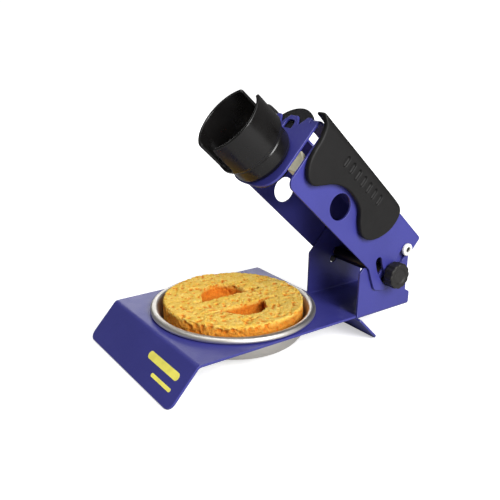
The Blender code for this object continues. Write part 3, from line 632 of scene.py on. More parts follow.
BLUE = (0.036, 0.0365, 0.212)
BASE_PAINT = enamel("enamel_base", BLUE)
BRACKET_PAINT = enamel("enamel_bracket", BLUE)
# the channel's blue is 4% lighter than the rest: painted light, a lit copy of the same enamel
CHANNEL_PAINT = enamel("enamel_channel", scaled(BLUE, 1.04))
TRAY_STEEL = metal("tray_satin_steel", (0.70, 0.67, 0.625), rough=0.43,
                   turned_about=(0.0, TRAY_Y, 0.0), brush=0.010, spread=0.06)
SPONGE = sponge_material()
GRIP_RUBBER = moulded("grip_rubber", (0.0062, 0.0057, 0.0056), rough=0.55, grain=0.30,
                      grain_depth=0.030, wear=0.25, shine=0.26)
COLLAR_RESIN = moulded("collar_resin", (0.0050, 0.0045, 0.0044), rough=0.30, grain=0.7,
                       grain_depth=0.006, coat=0.22, shine=0.28)
CLIP_RESIN = moulded("clip_resin", (0.006, 0.006, 0.0065), rough=0.46, wear=0.4, shine=0.3)
KNOB_RESIN = moulded("knob_resin", (0.011, 0.010, 0.0090), rough=0.50, grain_depth=0.03,
                     shine=0.35)
CREAM_NYLON = moulded("cream_nylon", (0.80, 0.76, 0.56), rough=0.5, grain=0.4, wear=0.3,
                      subsurface=0.15)
WHITE_NYLON = moulded("white_nylon", (0.82, 0.81, 0.76), rough=0.42, grain=0.4,
                      grain_depth=0.015, wear=0.2, subsurface=0.2)
ZINC = metal("zinc_plate", (0.62, 0.63, 0.65), rough=0.34)
BRASS = metal("insert_brass", (0.72, 0.53, 0.24), rough=0.34)
PIN_BLACK = metal("pin_black_oxide", (0.050, 0.048, 0.047), rough=0.42)
SCREW_BLACK = metal("screw_black_oxide", (0.060, 0.058, 0.056), rough=0.40)
TUBE_BLACK = metal("spacer_black_oxide", (0.055, 0.053, 0.052), rough=0.36)
INK = moulded("print_ink", (0.86, 0.78, 0.13), rough=0.5, grain=0.25, grain_depth=0.012,
              wear=0.15)


# ---- bent sheet: flat patterns, outside face at height 0 -----------------------------------
def fold_steps(start, length):
    return [start + length * k / 10 for k in range(11)]


def wrap(past, neutral, angle):
    """Turn round a bend and straight length after it, from the distance past its start."""
    return np.clip(past / neutral, 0, angle), np.maximum(past - neutral * angle, 0)


# base plate: flat pattern (X, unrolled Y)
BASE_BEND = 3.2
BASE_NEUTRAL = BASE_BEND - SHEET / 2
LIP_ANGLE, FLAP_ANGLE = math.atan2(PLATE_TOP, 15.9), math.atan2(PLATE_TOP, 17.7)
LIP_SETBACK = BASE_BEND * math.tan(LIP_ANGLE / 2)
LIP_FOLD = PLATE_FRONT_Y + LIP_SETBACK
FLAP_FOLD = PLATE_REAR_Y - BASE_BEND * math.tan(FLAP_ANGLE / 2)
LIP_ARC, FLAP_ARC = BASE_NEUTRAL * LIP_ANGLE, BASE_NEUTRAL * FLAP_ANGLE
SLIT_X = 2.78                           # the flap starts lower from here towards +X


def slope_length(angle, drop):
    """Straight sheet after a fold that comes down by `drop` from the plate's top."""
    return drop / math.sin(angle) - BASE_BEND * math.tan(angle / 2)


LIP_END = LIP_FOLD - LIP_ARC - slope_length(LIP_ANGLE, PLATE_TOP - SHEET * math.cos(LIP_ANGLE))
FLAP_END = FLAP_FOLD + FLAP_ARC + slope_length(
    FLAP_ANGLE, PLATE_TOP - SHEET * math.cos(FLAP_ANGLE))
SLIT_END = FLAP_FOLD + FLAP_ARC + slope_length(FLAP_ANGLE, PLATE_TOP - 14.65)


def bend_base(points):
    x, flat_y, height = points.T
    y, z = flat_y, PLATE_TOP + height
    for sign, start, angle in ((-1, LIP_FOLD, LIP_ANGLE), (1, FLAP_FOLD, FLAP_ANGLE)):
        past = sign * (flat_y - start)
        bent = past > 0
        if sign > 0:                    # the edge in front of the slit stays level
            bent &= ~((x > SLIT_X) & (flat_y < 108.5))
        turn, rest = wrap(past, BASE_NEUTRAL, angle)
        radius = BASE_BEND + height
        bent_y = start + sign * (radius * np.sin(turn) + rest * math.cos(angle))
        bent_z = PLATE_TOP - BASE_BEND + radius * np.cos(turn) - rest * math.sin(angle)
        y, z = np.where(bent, bent_y, y), np.where(bent, bent_z, z)
    return np.stack([x, y, z], 1)


base_outline = filleted([
    (-PLATE_HALF, LIP_END, 4.2), (PLATE_HALF, LIP_END, 4.2), (PLATE_HALF, 106.95, 0.9),
    (SLIT_X, 106.95, 1.2), (SLIT_X, SLIT_END, 1.2), (PLATE_HALF, SLIT_END, 1.0),
    (PLATE_HALF, FLAP_END, 3.6), (-PLATE_HALF, FLAP_END, 3.6),
])
base_cuts = [(1, y) for y in fold_steps(LIP_FOLD - LIP_ARC, LIP_ARC)
             + fold_steps(FLAP_FOLD, FLAP_ARC)]
base = slab([base_outline, circle((0, TRAY_Y), 39.2, 160)], -SHEET, 0.0, 0.24, cuts=base_cuts)
make("base_plate_pressing", placed(base, bend_base), "stand", BASE_PAINT, "base_plate")

# the bracket and the channel share one right-angle bend
BEND = 2.2
NEUTRAL = BEND - SHEET / 2
RIGHT_ANGLE = math.pi / 2
BEND_ARC = NEUTRAL * RIGHT_ANGLE


def wall_cuts(half):
    return [(0, MID_X + side * x) for side in (1, -1) for x in fold_steps(half, BEND_ARC)]


# bracket: flat pattern (unrolled X, Y), outside face down
BRACKET_FLAT = BRACKET_HALF - BEND
BRACKET_LOW = 15.0
WALL_FRONT, WALL_REAR = PLATE_REAR_Y, 141.8


def bend_bracket(points):
    flat_x, y, height = points.T
    offset = flat_x - MID_X
    past = np.abs(offset) - BRACKET_FLAT
    turn, rest = wrap(past, NEUTRAL, RIGHT_ANGLE)
    radius = BEND + height
    wall_x = MID_X + np.sign(offset) * (BRACKET_FLAT + radius * np.sin(turn))
    x = np.where(past > 0, wall_x, flat_x)
    z = np.where(past > 0, BRACKET_LOW + BEND - radius * np.cos(turn) + rest,
                 BRACKET_LOW - height)
    return np.stack([x, y, z], 1)


def wall_flat(side, z):
    return MID_X + side * (BRACKET_FLAT + BEND_ARC + z - BRACKET_LOW - BEND)


# wall edges (Y, Z, fillet), from the front foot over the top to the rear foot
near_wall = [
    (WALL_FRONT, 40.0, 0.6), (WALL_FRONT + 2.4, 42.4, 0.6), (PIVOT_Y - 21.8, 42.4, 1.0),
    (PIVOT_Y - 21.8, 38.8, 1.2), (PIVOT_Y - 17.4, 36.2, 1.8), (PIVOT_Y - 14.4, 39.6, 1.4),
    (PIVOT_Y - 12.6, 45.0, 1.0), (PIVOT_Y - 4.4, PIVOT_Z + 4.1, 3.0),
    (WALL_REAR - 0.15, PIVOT_Z + 4.1, 4.0), (WALL_REAR - 0.15, 24.4, 0.6),
    (WALL_REAR + 3.1, 22.4, 1.2),
]
far_wall = [
    (WALL_FRONT, 40.0, 0.6), (WALL_FRONT + 2.4, 42.4, 0.6), (PIVOT_Y - 15.0, PIVOT_Z + 8.4, 2.5),
    (WALL_REAR, PIVOT_Z + 4.4, 4.2), (WALL_REAR, 29.0, 0.6), (WALL_REAR + 4.9, 27.0, 1.2),
]
foot_near, foot_far = MID_X + BRACKET_FLAT - 0.3, MID_X - BRACKET_FLAT + 0.3
bracket_outline = filleted(
    [(foot_far, WALL_FRONT - 7.6, 1.5), (foot_near, WALL_FRONT - 7.6, 1.5),
     (foot_near, WALL_FRONT, 0.6)]
    + [(wall_flat(1, z), y, radius) for y, z, radius in near_wall]
    + [(MID_X - BRACKET_FLAT, WALL_REAR + 3.1, 0.6), (MID_X - BRACKET_FLAT, WALL_REAR + 4.9, 0.4)]
    + [(wall_flat(-1, z), y, radius) for y, z, radius in far_wall[::-1]]
    + [(foot_far, WALL_FRONT, 0.6)])
clamp_reach = math.hypot(CLAMP[0] - PIVOT[0], CLAMP[1] - PIVOT[1])
clamp_deg = math.degrees(math.atan2(CLAMP_Z - PIVOT_Z, CLAMP_Y - PIVOT_Y)) % 360
# pivot hole, guide pin hole, curved clamp slot
wall_holes = [
    circle(PIVOT_YZ, 1.5, 40), circle(GUIDE_YZ, GUIDE_HALF, 48),
    slot(PIVOT_YZ, clamp_reach, clamp_deg - 5.6, clamp_deg + 27.6, CLAMP_HOLE),
]
bracket_holes = [[(wall_flat(side, z), y) for y, z in hole]
                 for side in (1, -1) for hole in wall_holes]
bracket = slab([bracket_outline] + bracket_holes, -SHEET, 0.0, 0.24,
               cuts=wall_cuts(BRACKET_FLAT))
make("upright_bracket_pressing", placed(bracket, bend_bracket), "stand", BRACKET_PAINT,
     "upright_bracket")

# holder channel: flat pattern (unrolled X, unrolled along)
CHANNEL_FLAT = CHANNEL_HALF - BEND
FRONT_FACE, REAR_FACE = 94.3, -3.0
FRONT_FOLD, REAR_FOLD = FRONT_FACE - BEND, REAR_FACE + BEND
WEB_HALF = 17.4
FLANGE_SIDE, FLANGE_BELLY = -26.0, 12.4       # rise at its sides, extra drop at its middle


def side_flat(side, rise):
    return MID_X + side * (CHANNEL_FLAT + BEND_ARC - BEND - rise)


def flange_flat(rise):
    """Flat place of a rise on the front flange; it is its own inverse."""
    return FRONT_FOLD + BEND_ARC - BEND - rise


def bend_channel(points):
    flat_x, flat, height = points.T
    offset = flat_x - MID_X
    radius = BEND + height
    past = np.abs(offset) - CHANNEL_FLAT
    turn, rest = wrap(past, NEUTRAL, RIGHT_ANGLE)
    sides = past > 0
    wall_x = MID_X + np.sign(offset) * (CHANNEL_FLAT + radius * np.sin(turn))
    x = np.where(sides, wall_x, flat_x)
    along = flat
    rise = np.where(sides, -BEND + radius * np.cos(turn) - rest, height)
    for sign, start in ((1, FRONT_FOLD), (-1, REAR_FOLD)):
        past = sign * (flat - start)
        here = (past > 0) & ~sides
        turn, rest = wrap(past, NEUTRAL, RIGHT_ANGLE)
        along = np.where(here, start + sign * radius * np.sin(turn), along)
        rise = np.where(here, -BEND + radius * np.cos(turn) - rest, rise)
        if sign > 0:                    # the tab between the relief slits stands straight
            tab = here & (np.abs(offset) < 12.5)
            along = np.where(tab, FRONT_FACE + height, along)
            rise = np.where(tab, flange_flat(flat), rise)
    return from_x_along(np.stack([x, along, rise], 1))


# side wall edge (along, rise, fillet), from the mouth to the rear
side_edge = [
    (91.3, -32.5, 4.0), (19.6, -32.5, 3.0), (13.6, -35.6, 3.0), (8.0, -38.2, 3.2),
    (2.6, -35.2, 3.0), (-0.9, -29.0, 3.0), (-0.6, -22.0, 2.5), (2.2, -17.0, 1.5),
    (0.0, -13.0, 1.2),
]
rear_end = REAR_FOLD - BEND_ARC - (27.0 - BEND)
flange_half = [(MID_X + WEB_HALF * math.cos(math.radians(t)) ** 0.62,
                flange_flat(FLANGE_SIDE - FLANGE_BELLY * math.sin(math.radians(t)) ** 0.9), 0)
               for t in range(3, 90, 3)]
flange_edge = (flange_half + [(MID_X, flange_flat(FLANGE_SIDE - FLANGE_BELLY), 0)]
               + [(2 * MID_X - x, y, 0) for x, y, _ in flange_half[::-1]])
web_near, web_far = MID_X + WEB_HALF, MID_X - WEB_HALF
channel_outline = filleted(
    [(web_near, 91.3, 0.7)]
    + [(side_flat(1, rise), along, radius) for along, rise, radius in side_edge]
    + [(web_near, 0.0, 0.6), (web_near, rear_end, 1.0), (web_far, rear_end, 1.0),
       (web_far, 0.0, 0.6)]
    + [(side_flat(-1, rise), along, radius) for along, rise, radius in side_edge[::-1]]
    + [(web_far, 91.3, 0.7), (web_far, flange_flat(FLANGE_SIDE), 0)]
    + flange_edge[::-1] + [(web_near, flange_flat(FLANGE_SIDE), 0)])
# round opening, guide slot, clamp hole, upright pivot slot, peg hole
side_holes = [
    circle((59.05, -21.7), 6.35, 96),
    slot(PIVOT, GUIDE_REACH, 180 - (GUIDE_DEG + 4.6 + TILT_DEG), 180 - (189.0 + TILT_DEG),
         GUIDE_HALF),
    circle(CLAMP, CLAMP_HOLE, 48),
    arc(PIVOT, 2.4, 0, 180, 20) + arc((PIVOT[0], PIVOT[1] - 7.0), 2.4, 180, 360, 20),
    circle(PEG, 2.0, 40),
]
channel_holes = [[(side_flat(side, rise), along) for along, rise in hole]
                 for side in (1, -1) for hole in side_holes]
# window across the web and the front fold, near half: (offset from MID_X, along, fillet)
tab_root = flange_flat(0.0) + 0.15
window_half = [
    (5.8, 68.5, 5.0), (5.8, 88.6, 1.0), (12.8, 88.6, 1.0), (12.8, 95.4, 0.28),
    (12.2, 95.4, 0.28), (12.2, tab_root, 0.5), (9.6, tab_root, 0.4),
    (6.6, tab_root + 4.1, 0.35), (5.8, tab_root + 4.1, 0.35), (2.6, tab_root, 0.4),
]
window_near = [(MID_X + x, y, radius) for x, y, radius in window_half]
window_far = [(MID_X - x, y, radius) for x, y, radius in window_half[::-1]]
channel_holes.append(filleted(window_far[-1:] + window_near + window_far[:-1], 0.08))
# small opening high on the front flange, then the round mouth below it
channel_holes.append(filleted([
    (MID_X - 3.2, flange_flat(-7.0), 0.4), (MID_X + 3.2, flange_flat(-7.0), 0.4),
    (MID_X + 3.2, flange_flat(-2.5), 3.0), (MID_X - 3.2, flange_flat(-2.5), 3.0)], 0.08))
channel_holes.append([(x, flange_flat(rise)) for x, rise in circle((MID_X, MOUTH_RISE), 12.7, 120)])
channel_cuts = wall_cuts(CHANNEL_FLAT) + [
    (1, along) for along in fold_steps(FRONT_FOLD, BEND_ARC)
    + fold_steps(REAR_FOLD - BEND_ARC, BEND_ARC)]
channel = slab([channel_outline] + channel_holes, -SHEET, 0.0, 0.24, cuts=channel_cuts)
make("holder_channel_pressing", placed(channel, bend_channel), "holder", CHANNEL_PAINT,
     "holder_channel")

# printed stripes on the lip: (tag, far X, near X, distances down the lip from its corner)
lip_corner = LIP_FOLD - LIP_ARC + LIP_SETBACK
for tag, far_x, near_x, upper, lower in (
        ("bold", 8.5, 36.0, 7.4, 11.2), ("thin", 18.5, 36.0, 14.8, 16.6)):
    stripe = box(far_x, near_x, lip_corner - upper, lip_corner - lower, (lower - upper) / 2)
    pad = slab([stripe], -0.05, 0.07, 0.02, resolution=1)
    make("lip_print_" + tag, placed(pad, bend_base), "stand", INK)

# ---- tray: (radius, height, fillet), rolled rim, underside, then the inside ----------------
tray_profile = [
    (40.3, 20.82, 1.2), (41.4, 20.5, 1.0), (42.05, 19.75, 0.9), (42.2, 18.95, 0.7),
    (41.95, 18.3, 0.5), (41.2, 18.0, 0.3), (39.0, 18.02, 0.5), (38.35, 17.2, 0.8),
    (37.7, 12.4, 1.5), (36.8, 9.2, 2.5), (34.9, 6.6, 3.0), (31.8, 4.9, 3.0),
    (28.0, 4.4, 3.0), (0.0, 4.4, 0.0),
    (0.0, 5.2, 0.0), (28.0, 5.2, 3.0), (31.4, 5.7, 3.0), (34.2, 7.2, 3.0),
    (36.0, 9.5, 2.5), (36.9, 12.6, 1.5), (37.5, 17.4, 1.0), (37.9, 18.95, 1.2),
    (38.5, 20.1, 1.2), (39.3, 20.7, 1.0),
]
turned("cleaning_tray_dish", tray_profile, 192, at_tray, "tray", TRAY_STEEL, "cleaning_tray",
       step=0.16)

# ---- sponge: turned, pocketed, remeshed, then opened up with real pores --------------------
SPONGE_REACH = 35.88                    # largest radius, inside the tray wall
sponge_profile = [
    (0, 24.3, 0), (35.9, 24.3, 1.1), (35.9, 12.9, 0.8), (34.8, 9.7, 0.8),
    (32.6, 7.6, 0.8), (29.5, 6.5, 0.8), (0, 6.0, 0),
]
# pockets in plan (X, Y, fillet)
far_pocket = [
    (-3.3, 40.0, 0.2), (-3.3, 79.4, 0.2), (-4.8, 79.4, 0.2), (-5.2, 71.6, 1.0),
    (-8.6, 70.6, 4.0), (-14.8, 68.7, 4.0), (-18.8, 64.9, 4.0), (-19.9, 59.6, 4.0),
    (-17.8, 54.8, 4.0), (-14.0, 50.6, 4.0), (-9.0, 47.6, 4.0), (-5.0, 46.2, 0.8),
    (-4.7, 40.0, 0.2),
]
near_pocket = [
    (10.1, 40.0, 0.2), (11.5, 40.0, 0.2), (12.0, 46.8, 0.8), (17.6, 50.6, 4.0),
    (21.6, 54.8, 4.0), (22.8, 59.4, 4.0), (22.0, 63.6, 4.0), (18.6, 67.8, 4.0),
    (14.2, 70.6, 2.0), (11.8, 71.4, 0.8), (11.5, 79.6, 0.2), (10.1, 79.6, 0.2),
]
sponge_blank = placed(lathe(sponge_profile, 160, ring=False, step=0.3), at_tray)
pockets = [slab([filleted(pocket, 0.4)], 18.1, 27.0) for pocket in (far_pocket, near_pocket)]
points, faces, normals = remeshed(
    carved(sponge_blank, pockets), voxel=0.42, smooth=2)
tree = KDTree(len(points))
for i, point in enumerate(points):
    tree.insert(point, i)
tree.balance()


def open_pores(rng):
    """Depth of the pores, and the strength of the painted shade in them, at each vertex."""
    depth = np.zeros(len(points))
    # how much painted shade each vertex takes inside its pore
    painted_recess_shade = np.zeros(len(points))
    exposed = np.where(points[:, 2] > 9.0)[0]
    count = min(9000, len(exposed))
    picks = rng.choice(exposed, count, replace=False)
    sizes = 0.26 + 0.95 * rng.rand(count) ** 7.0      # mostly small, a few large
    for pick, size in zip(picks, sizes):
        stretch = 1.0 + 0.9 * rng.rand()
        direction = rng.randn(3)
        direction /= np.linalg.norm(direction)
        centre = points[pick]
        for _, i, _ in tree.find_range(centre, size * stretch):
            offset = points[i] - centre
            along = offset @ direction
            beside = max(0.0, offset @ offset - along * along)
            distance = math.sqrt(beside + (along / stretch) ** 2) / size
            if distance < 1.0:
                fade = 1 - distance * distance
                depth[i] = max(depth[i], fade ** 0.8 * size * 0.75)
                painted_recess_shade[i] = max(painted_recess_shade[i], fade * min(0.85, size * 0.85))
    return depth, painted_recess_shade


def from_axis():
    return np.hypot(points[:, 0], points[:, 1] - TRAY_Y)


depth, painted_recess_shade = open_pores(np.random.RandomState(7))
radius_before = from_axis()
swell = np.array([noise.fractal(Vector(point) * 0.16, 1.0, 2.0, 3) for point in points])
rugged = np.array([noise.fractal(Vector(point) * 0.75 + Vector((9, 3, 1)), 0.9, 2.0, 3)
                   for point in points])
lumps = np.minimum(swell, 0.4) * 0.45 + np.minimum(rugged, 0.9) * 0.20 - 0.36
points = points - normals * depth[:, None] + normals * lumps[:, None]
# the pockets take painted shade as well
pocket_shade = np.clip((23.5 - points[:, 2]) / 3.0, 0, 1) * (radius_before < 27.0)
painted_recess_shade = np.maximum(painted_recess_shade, pocket_shade * 0.9)
# marks the outer wall for its painted shade
wall_shade_mask = np.clip((23.3 - points[:, 2]) / 1.5, 0, 1) * (radius_before > 33.0)
radius_now = from_axis()
shrink = np.where(radius_now > SPONGE_REACH, SPONGE_REACH / np.maximum(radius_now, 1e-6), 1.0)
points[:, 0] *= shrink
points[:, 1] = TRAY_Y + (points[:, 1] - TRAY_Y) * shrink
sponge = make("cleaning_sponge_body", (points, faces, None), "sponge", SPONGE,
              "cleaning_sponge", smooth_angle=180)
for key, values in (("painted_recess_shade", painted_recess_shade), ("side", wall_shade_mask)):
    attribute = sponge.data.attributes.new(key, "FLOAT", "POINT")
    attribute.data.foreach_set("value", values.astype(np.float32))

# ---- mouth collar: a cup of two wings rolled up from a flat pattern, on a turned neck ------
CUP_RADIUS, CUP_OVAL = 16.8, 0.93
CUP_LOW, SLOT_FLOOR, CUP_RIM = 105.1, 106.4, 121.3    # along the holder
half_turn = math.pi * CUP_RADIUS
pattern_end = half_turn + 0.5           # the ends overlap at the bottom


def collar_place(points):
    """Turned (x, y, along) about the collar's axis; the cup is a little narrower across X."""
    x, y, along = points.T
    ease = np.clip((along - 103.6) / 2.0, 0, 1)
    x = x * (1.0 + (CUP_OVAL - 1.0) * ease)
    return from_x_along(np.stack([MID_X + x, along, MOUTH_RISE + y], 1))


def roll(points):
    around, along, height = points.T
    theta = around / CUP_RADIUS
    radius = CUP_RADIUS + height
    return collar_place(np.stack([radius * np.sin(theta), radius * np.cos(theta), along], 1))


def cup_edge(half, along):
    """Arc length from the slot's centre to its edge at x offset `half`, flaring to the rim."""
    flare = half + 0.8 * (along - SLOT_FLOOR) / 23.6
    return CUP_RADIUS * math.asin(min(0.99, flare / (CUP_RADIUS * CUP_OVAL)))


def slot_side(centre, sign, half):
    """One side of a slot, floor to rim."""
    return [(centre + sign * cup_edge(half, along), along, radius)
            for along, radius in ((SLOT_FLOOR, 2.0), (CUP_RIM, 1.3))]


cup_outline = (
    [(-pattern_end, CUP_LOW, 0.0), (pattern_end, CUP_LOW, 0.0), (pattern_end, SLOT_FLOOR, 0.0)]
    + slot_side(half_turn, -1, 4.5) + slot_side(0.0, 1, 7.0)[::-1]
    + slot_side(0.0, -1, 4.5) + slot_side(-half_turn, 1, 6.0)[::-1]
    + [(-pattern_end, SLOT_FLOOR, 0.0)])
roll_cuts = [(0, x) for x in np.linspace(-pattern_end + 0.3, pattern_end - 0.3, 181)]
cup = slab([filleted(cup_outline, 0.1)], -1.5, 0.0, 0.42, resolution=3, cuts=roll_cuts)
make("mouth_collar_cup", placed(cup, roll), "holder", COLLAR_RESIN, "mouth_collar")
# (radius, along, fillet): down the outside, then up the bore
neck_profile = [
    (16.55, 106.1, 0.25), (16.78, 105.7, 0.3), (16.15, 104.3, 0.6), (14.2, 103.35, 0.45),
    (14.7, 102.6, 0.4), (14.7, 97.0, 0.7), (13.9, 95.2, 0.5), (13.4, 94.6, 0.2),
    (12.4, 94.6, 0.1), (12.4, 92.95, 0.1), (11.5, 92.95, 0.1), (11.5, 90.9, 0.1),
    (12.4, 90.9, 0.1), (12.4, 88.4, 0.3), (10.6, 88.4, 0.3), (10.6, 99.5, 1.5),
    (13.0, 103.5, 2.0), (15.05, 105.3, 0.8), (15.34, 106.1, 0.3),
]
turned("mouth_collar_neck", neck_profile, 192, collar_place, "holder", COLLAR_RESIN,
       step=0.12)

# ---- collar clip: a horseshoe with an arched top -------------------------------------------
CLIP_HALF, CLIP_INNER, CLIP_LOW = 14.5, 11.9, -31.5
ARCH_RADIUS, ARCH_RISE = 15.2, -10.0
arch_deg = math.degrees(math.asin(CLIP_HALF / ARCH_RADIUS))
arch = arc((MID_X, ARCH_RISE), ARCH_RADIUS, 90 + arch_deg, 90 - arch_deg, 40)
opening = arc((MID_X, MOUTH_RISE), CLIP_INNER, 0, 180, 48)
clip_outline = (
    [(MID_X - CLIP_HALF, CLIP_LOW, 0.8)] + [(x, rise, 0) for x, rise in arch]
    + [(MID_X + CLIP_HALF, CLIP_LOW, 0.8), (MID_X + CLIP_INNER, CLIP_LOW, 0.5)]
    + [(x, rise, 0) for x, rise in opening] + [(MID_X - CLIP_INNER, CLIP_LOW, 0.5)])
make("collar_clip_horseshoe", placed(slab([filleted(clip_outline)], 91.2, 92.7, 0.28), from_x_rise),
     "holder", CLIP_RESIN, "collar_clip")

# ---- guide blocks: each with a peg through the channel's side ------------------------------
block_out = CHANNEL_HALF - SHEET - 0.35
block_section = [               # (offset from MID_X, rise, fillet)
    (12.8, -25.0, 0.5), (block_out, -25.0, 0.5), (block_out, -19.6, 0.5), (13.6, -14.6, 0.5),
    (12.8, -14.6, 0.3)]
peg_profile = [(0, 0.0, 0), (1.7, 0.0, 0.0), (1.7, 2.45, 0.25), (0, 2.45, 0)]
for side, tag in SIDES:
    outline = filleted([(MID_X + side * x, rise, radius) for x, rise, radius in block_section])
    block = placed(slab([outline], 84.4, 90.0, 0.4), from_x_rise)
    make("guide_block_%s_body" % tag, block, "holder", CREAM_NYLON, "guide_block_" + tag)
    at_peg = across(*holder_yz(*PEG), MID_X + side * (block_out - 1.0), side)
    turned("guide_block_%s_peg" % tag, peg_profile, 40, at_peg, "holder", CREAM_NYLON,
           ring=False, step=0.1)

# ---- rubber grip cover: side view (along, rise), carved out and softened by remeshing ------
grip_side = smooth_loop([
    (97.0, 1.9), (94.2, -3.2), (92.4, -9.0), (91.9, -15.0), (90.2, -20.6), (86.4, -24.7),
    (81.6, -25.2), (76.6, -21.4), (71.4, -17.2), (64.6, -14.6), (57.6, -14.4), (50.4, -16.4),
    (45.2, -21.4), (39.6, -24.5), (33.8, -23.2), (29.2, -18.8), (26.0, -12.8), (25.2, -6.2),
    (27.2, -0.8), (31.6, 1.2), (50.0, 1.6), (75.0, 1.9),
], 8)
FAR_SEAT, NEAR_SEAT = MID_X - SEAT_HALF, MID_X + SEAT_HALF
GRIP_TOP, GRIP_ROUND = 2.0, 4.2
grip_blank = placed(slab([grip_side], MID_X - GRIP_HALF, MID_X + GRIP_HALF), from_along_rise)
inside = filleted([(FAR_SEAT, -60, 0), (NEAR_SEAT, -60, 0), (NEAR_SEAT, 0.3, 1.6),
                   (FAR_SEAT, 0.3, 1.6)])
tools = [placed(slab([inside], -20, 130), from_x_rise)]
for side, _ in SIDES:           # rounds the upper long edges
    edge = MID_X + side * GRIP_HALF
    start, low = edge - side * GRIP_ROUND, GRIP_TOP - GRIP_ROUND
    outline = [(start, GRIP_TOP)]
    outline += [(start + side * GRIP_ROUND * math.sin(math.radians(t)),
                 low + GRIP_ROUND * math.cos(math.radians(t))) for t in range(5, 90, 5)]
    outline += [(edge, low), (edge + side * 2, low), (edge + side * 2, 4), (start, 4)]
    tools.append(placed(slab([outline], -20, 130), from_x_rise))
# notch in the top, open towards the mouth
notch = filleted([(MID_X - 14.6, 66.0, 9.0), (MID_X + 14.6, 66.0, 9.0),
                  (MID_X + 17.6, 104, 0), (MID_X - 17.6, 104, 0)])
tools.append(placed(slab([notch], -3.0, 3.5), from_x_along))
# recessed grooves along the upper flank of both sides
GROOVE_COUNT, GROOVE_START, GROOVE_PITCH = 7, 44.0, 5.0
GROOVE_HALF, GROOVE_DEPTH = 1.15, 0.95
grooves = []
for side, _ in SIDES:
    low_x, high_x = sorted((MID_X + side * (GRIP_HALF - GROOVE_DEPTH),
                            MID_X + side * (GRIP_HALF + 2.0)))
    for k in range(GROOVE_COUNT):
        middle = GROOVE_START + GROOVE_PITCH * k
        groove = box(middle - GROOVE_HALF, middle + GROOVE_HALF, -9.0, -3.6, GROOVE_HALF)
        grooves.append(placed(slab([groove], low_x, high_x), from_along_rise))
grip_voxel = 0.36
grip = remeshed(carved(grip_blank, tools), grip_voxel, smooth=20)
points, faces, _ = remeshed(carved(grip, grooves), grip_voxel, smooth=3)
make("grip_cover_skin", (points, faces, None), "holder", GRIP_RUBBER, "grip_cover",
     smooth_angle=180)

# ---- clamp bolt, washers, spacer, knob -----------------------------------------------------
at_clamp = across(CLAMP_Y, CLAMP_Z)
inside_far, inside_near = BRACKET_FAR + SHEET + 0.3, BRACKET_NEAR - SHEET - 0.3
KNOB_START, KNOB_END = NEAR_SEAT + 0.9, 50.4
FLUTES, FLUTE_DEPTH = 12, 0.062


def tube(outer, high, low, inner_fillet, outer_fillet):
    """Profile of a plain ring round the clamp bolt."""
    return [(CLAMP_HOLE, high, inner_fillet), (outer, high, outer_fillet),
            (outer, low, outer_fillet), (CLAMP_HOLE, low, inner_fillet)]


bolt_profile = [
    (0, 49.3, 0), (1.6, 49.3, 0.25), (2.0, 48.9, 0.2), (2.0, FAR_SEAT - 0.9, 0.1),
    (3.9, FAR_SEAT - 0.9, 0.2), (3.9, FAR_SEAT - 2.2, 0.5), (3.2, FAR_SEAT - 3.1, 0.5),
    (0, FAR_SEAT - 3.3, 0),
]
turned("clamp_bolt_shank", bolt_profile, 64, at_clamp, "holder", ZINC, "clamp_bolt", ring=False)
for tag, high, low in (("far", FAR_SEAT, FAR_SEAT - 0.6), ("near", NEAR_SEAT + 0.6, NEAR_SEAT)):
    turned("clamp_washer_%s_ring" % tag, tube(4.5, high, low, 0.1, 0.15), 72, at_clamp,
           "holder", ZINC, "clamp_washer_" + tag)
turned("spacer_tube_turned", tube(3.4, inside_near, inside_far, 0.15, 0.2), 64, at_clamp,
       "holder", TUBE_BLACK, "spacer_tube")
turned("knob_insert_turned", tube(3.4, KNOB_START + 4.3, KNOB_START + 0.1, 0.15, 0.15), 64,
       at_clamp, "knob", BRASS, "knob_insert")


def fluted(angles, radius):
    """Flutes round the knob, fading out towards its centre."""
    if radius < 4.6:
        return np.ones_like(angles)
    fade = min(1.0, (radius - 4.6) / 1.6)
    return 1.0 - fade * FLUTE_DEPTH * (0.5 - 0.5 * np.cos(FLUTES * angles)) ** 1.5


knob_profile = [
    (0, KNOB_END - 0.55, 0), (3.3, KNOB_END - 0.55, 0.8), (4.3, KNOB_END, 0.8),
    (6.72, KNOB_END, 0.75), (6.72, KNOB_START, 0.5), (3.7, KNOB_START, 0.15),
    (3.7, KNOB_START + 4.6, 0.15), (0, KNOB_START + 4.6, 0),
]
turned("clamp_knob_fluted", knob_profile, 192, at_clamp, "knob", KNOB_RESIN, "clamp_knob",
       ring=False, step=0.07, radial=fluted)

# ---- pivots and guide pins: heights are distances out from MID_X ---------------------------
bush_in = CHANNEL_HALF - SHEET - 0.05
wall_in = BRACKET_HALF - SHEET
bush_profile = [
    (1.5, SEAT_HALF + 1.5, 0.2), (2.75, SEAT_HALF + 1.5, 0.35), (3.2, SEAT_HALF + 1.1, 0.3),
    (3.2, SEAT_HALF, 0.12), (2.1, SEAT_HALF, 0.1), (2.1, bush_in, 0.1), (1.5, bush_in, 0.1),
]
screw_profile = [
    (0, SEAT_HALF + 0.45, 0), (0.62, SEAT_HALF + 0.75, 0.05), (0.66, SEAT_HALF + 1.0, 0.05),
    (1.0, SEAT_HALF + 1.0, 0.1), (1.15, SEAT_HALF + 0.85, 0.1), (1.15, wall_in - 3.2, 0.15),
    (0, wall_in - 3.2, 0),
]
pin_profile = [(0, 21.09, 0), (1.8, 21.09, 0.25), (1.8, wall_in + 0.1, 0.2),
               (0, wall_in + 0.1, 0)]
hexagon = filleted([(y, z, 0.12) for y, z in arc(PIVOT_YZ, 2.9, 30, 390, 6)[:-1]], 0.06)
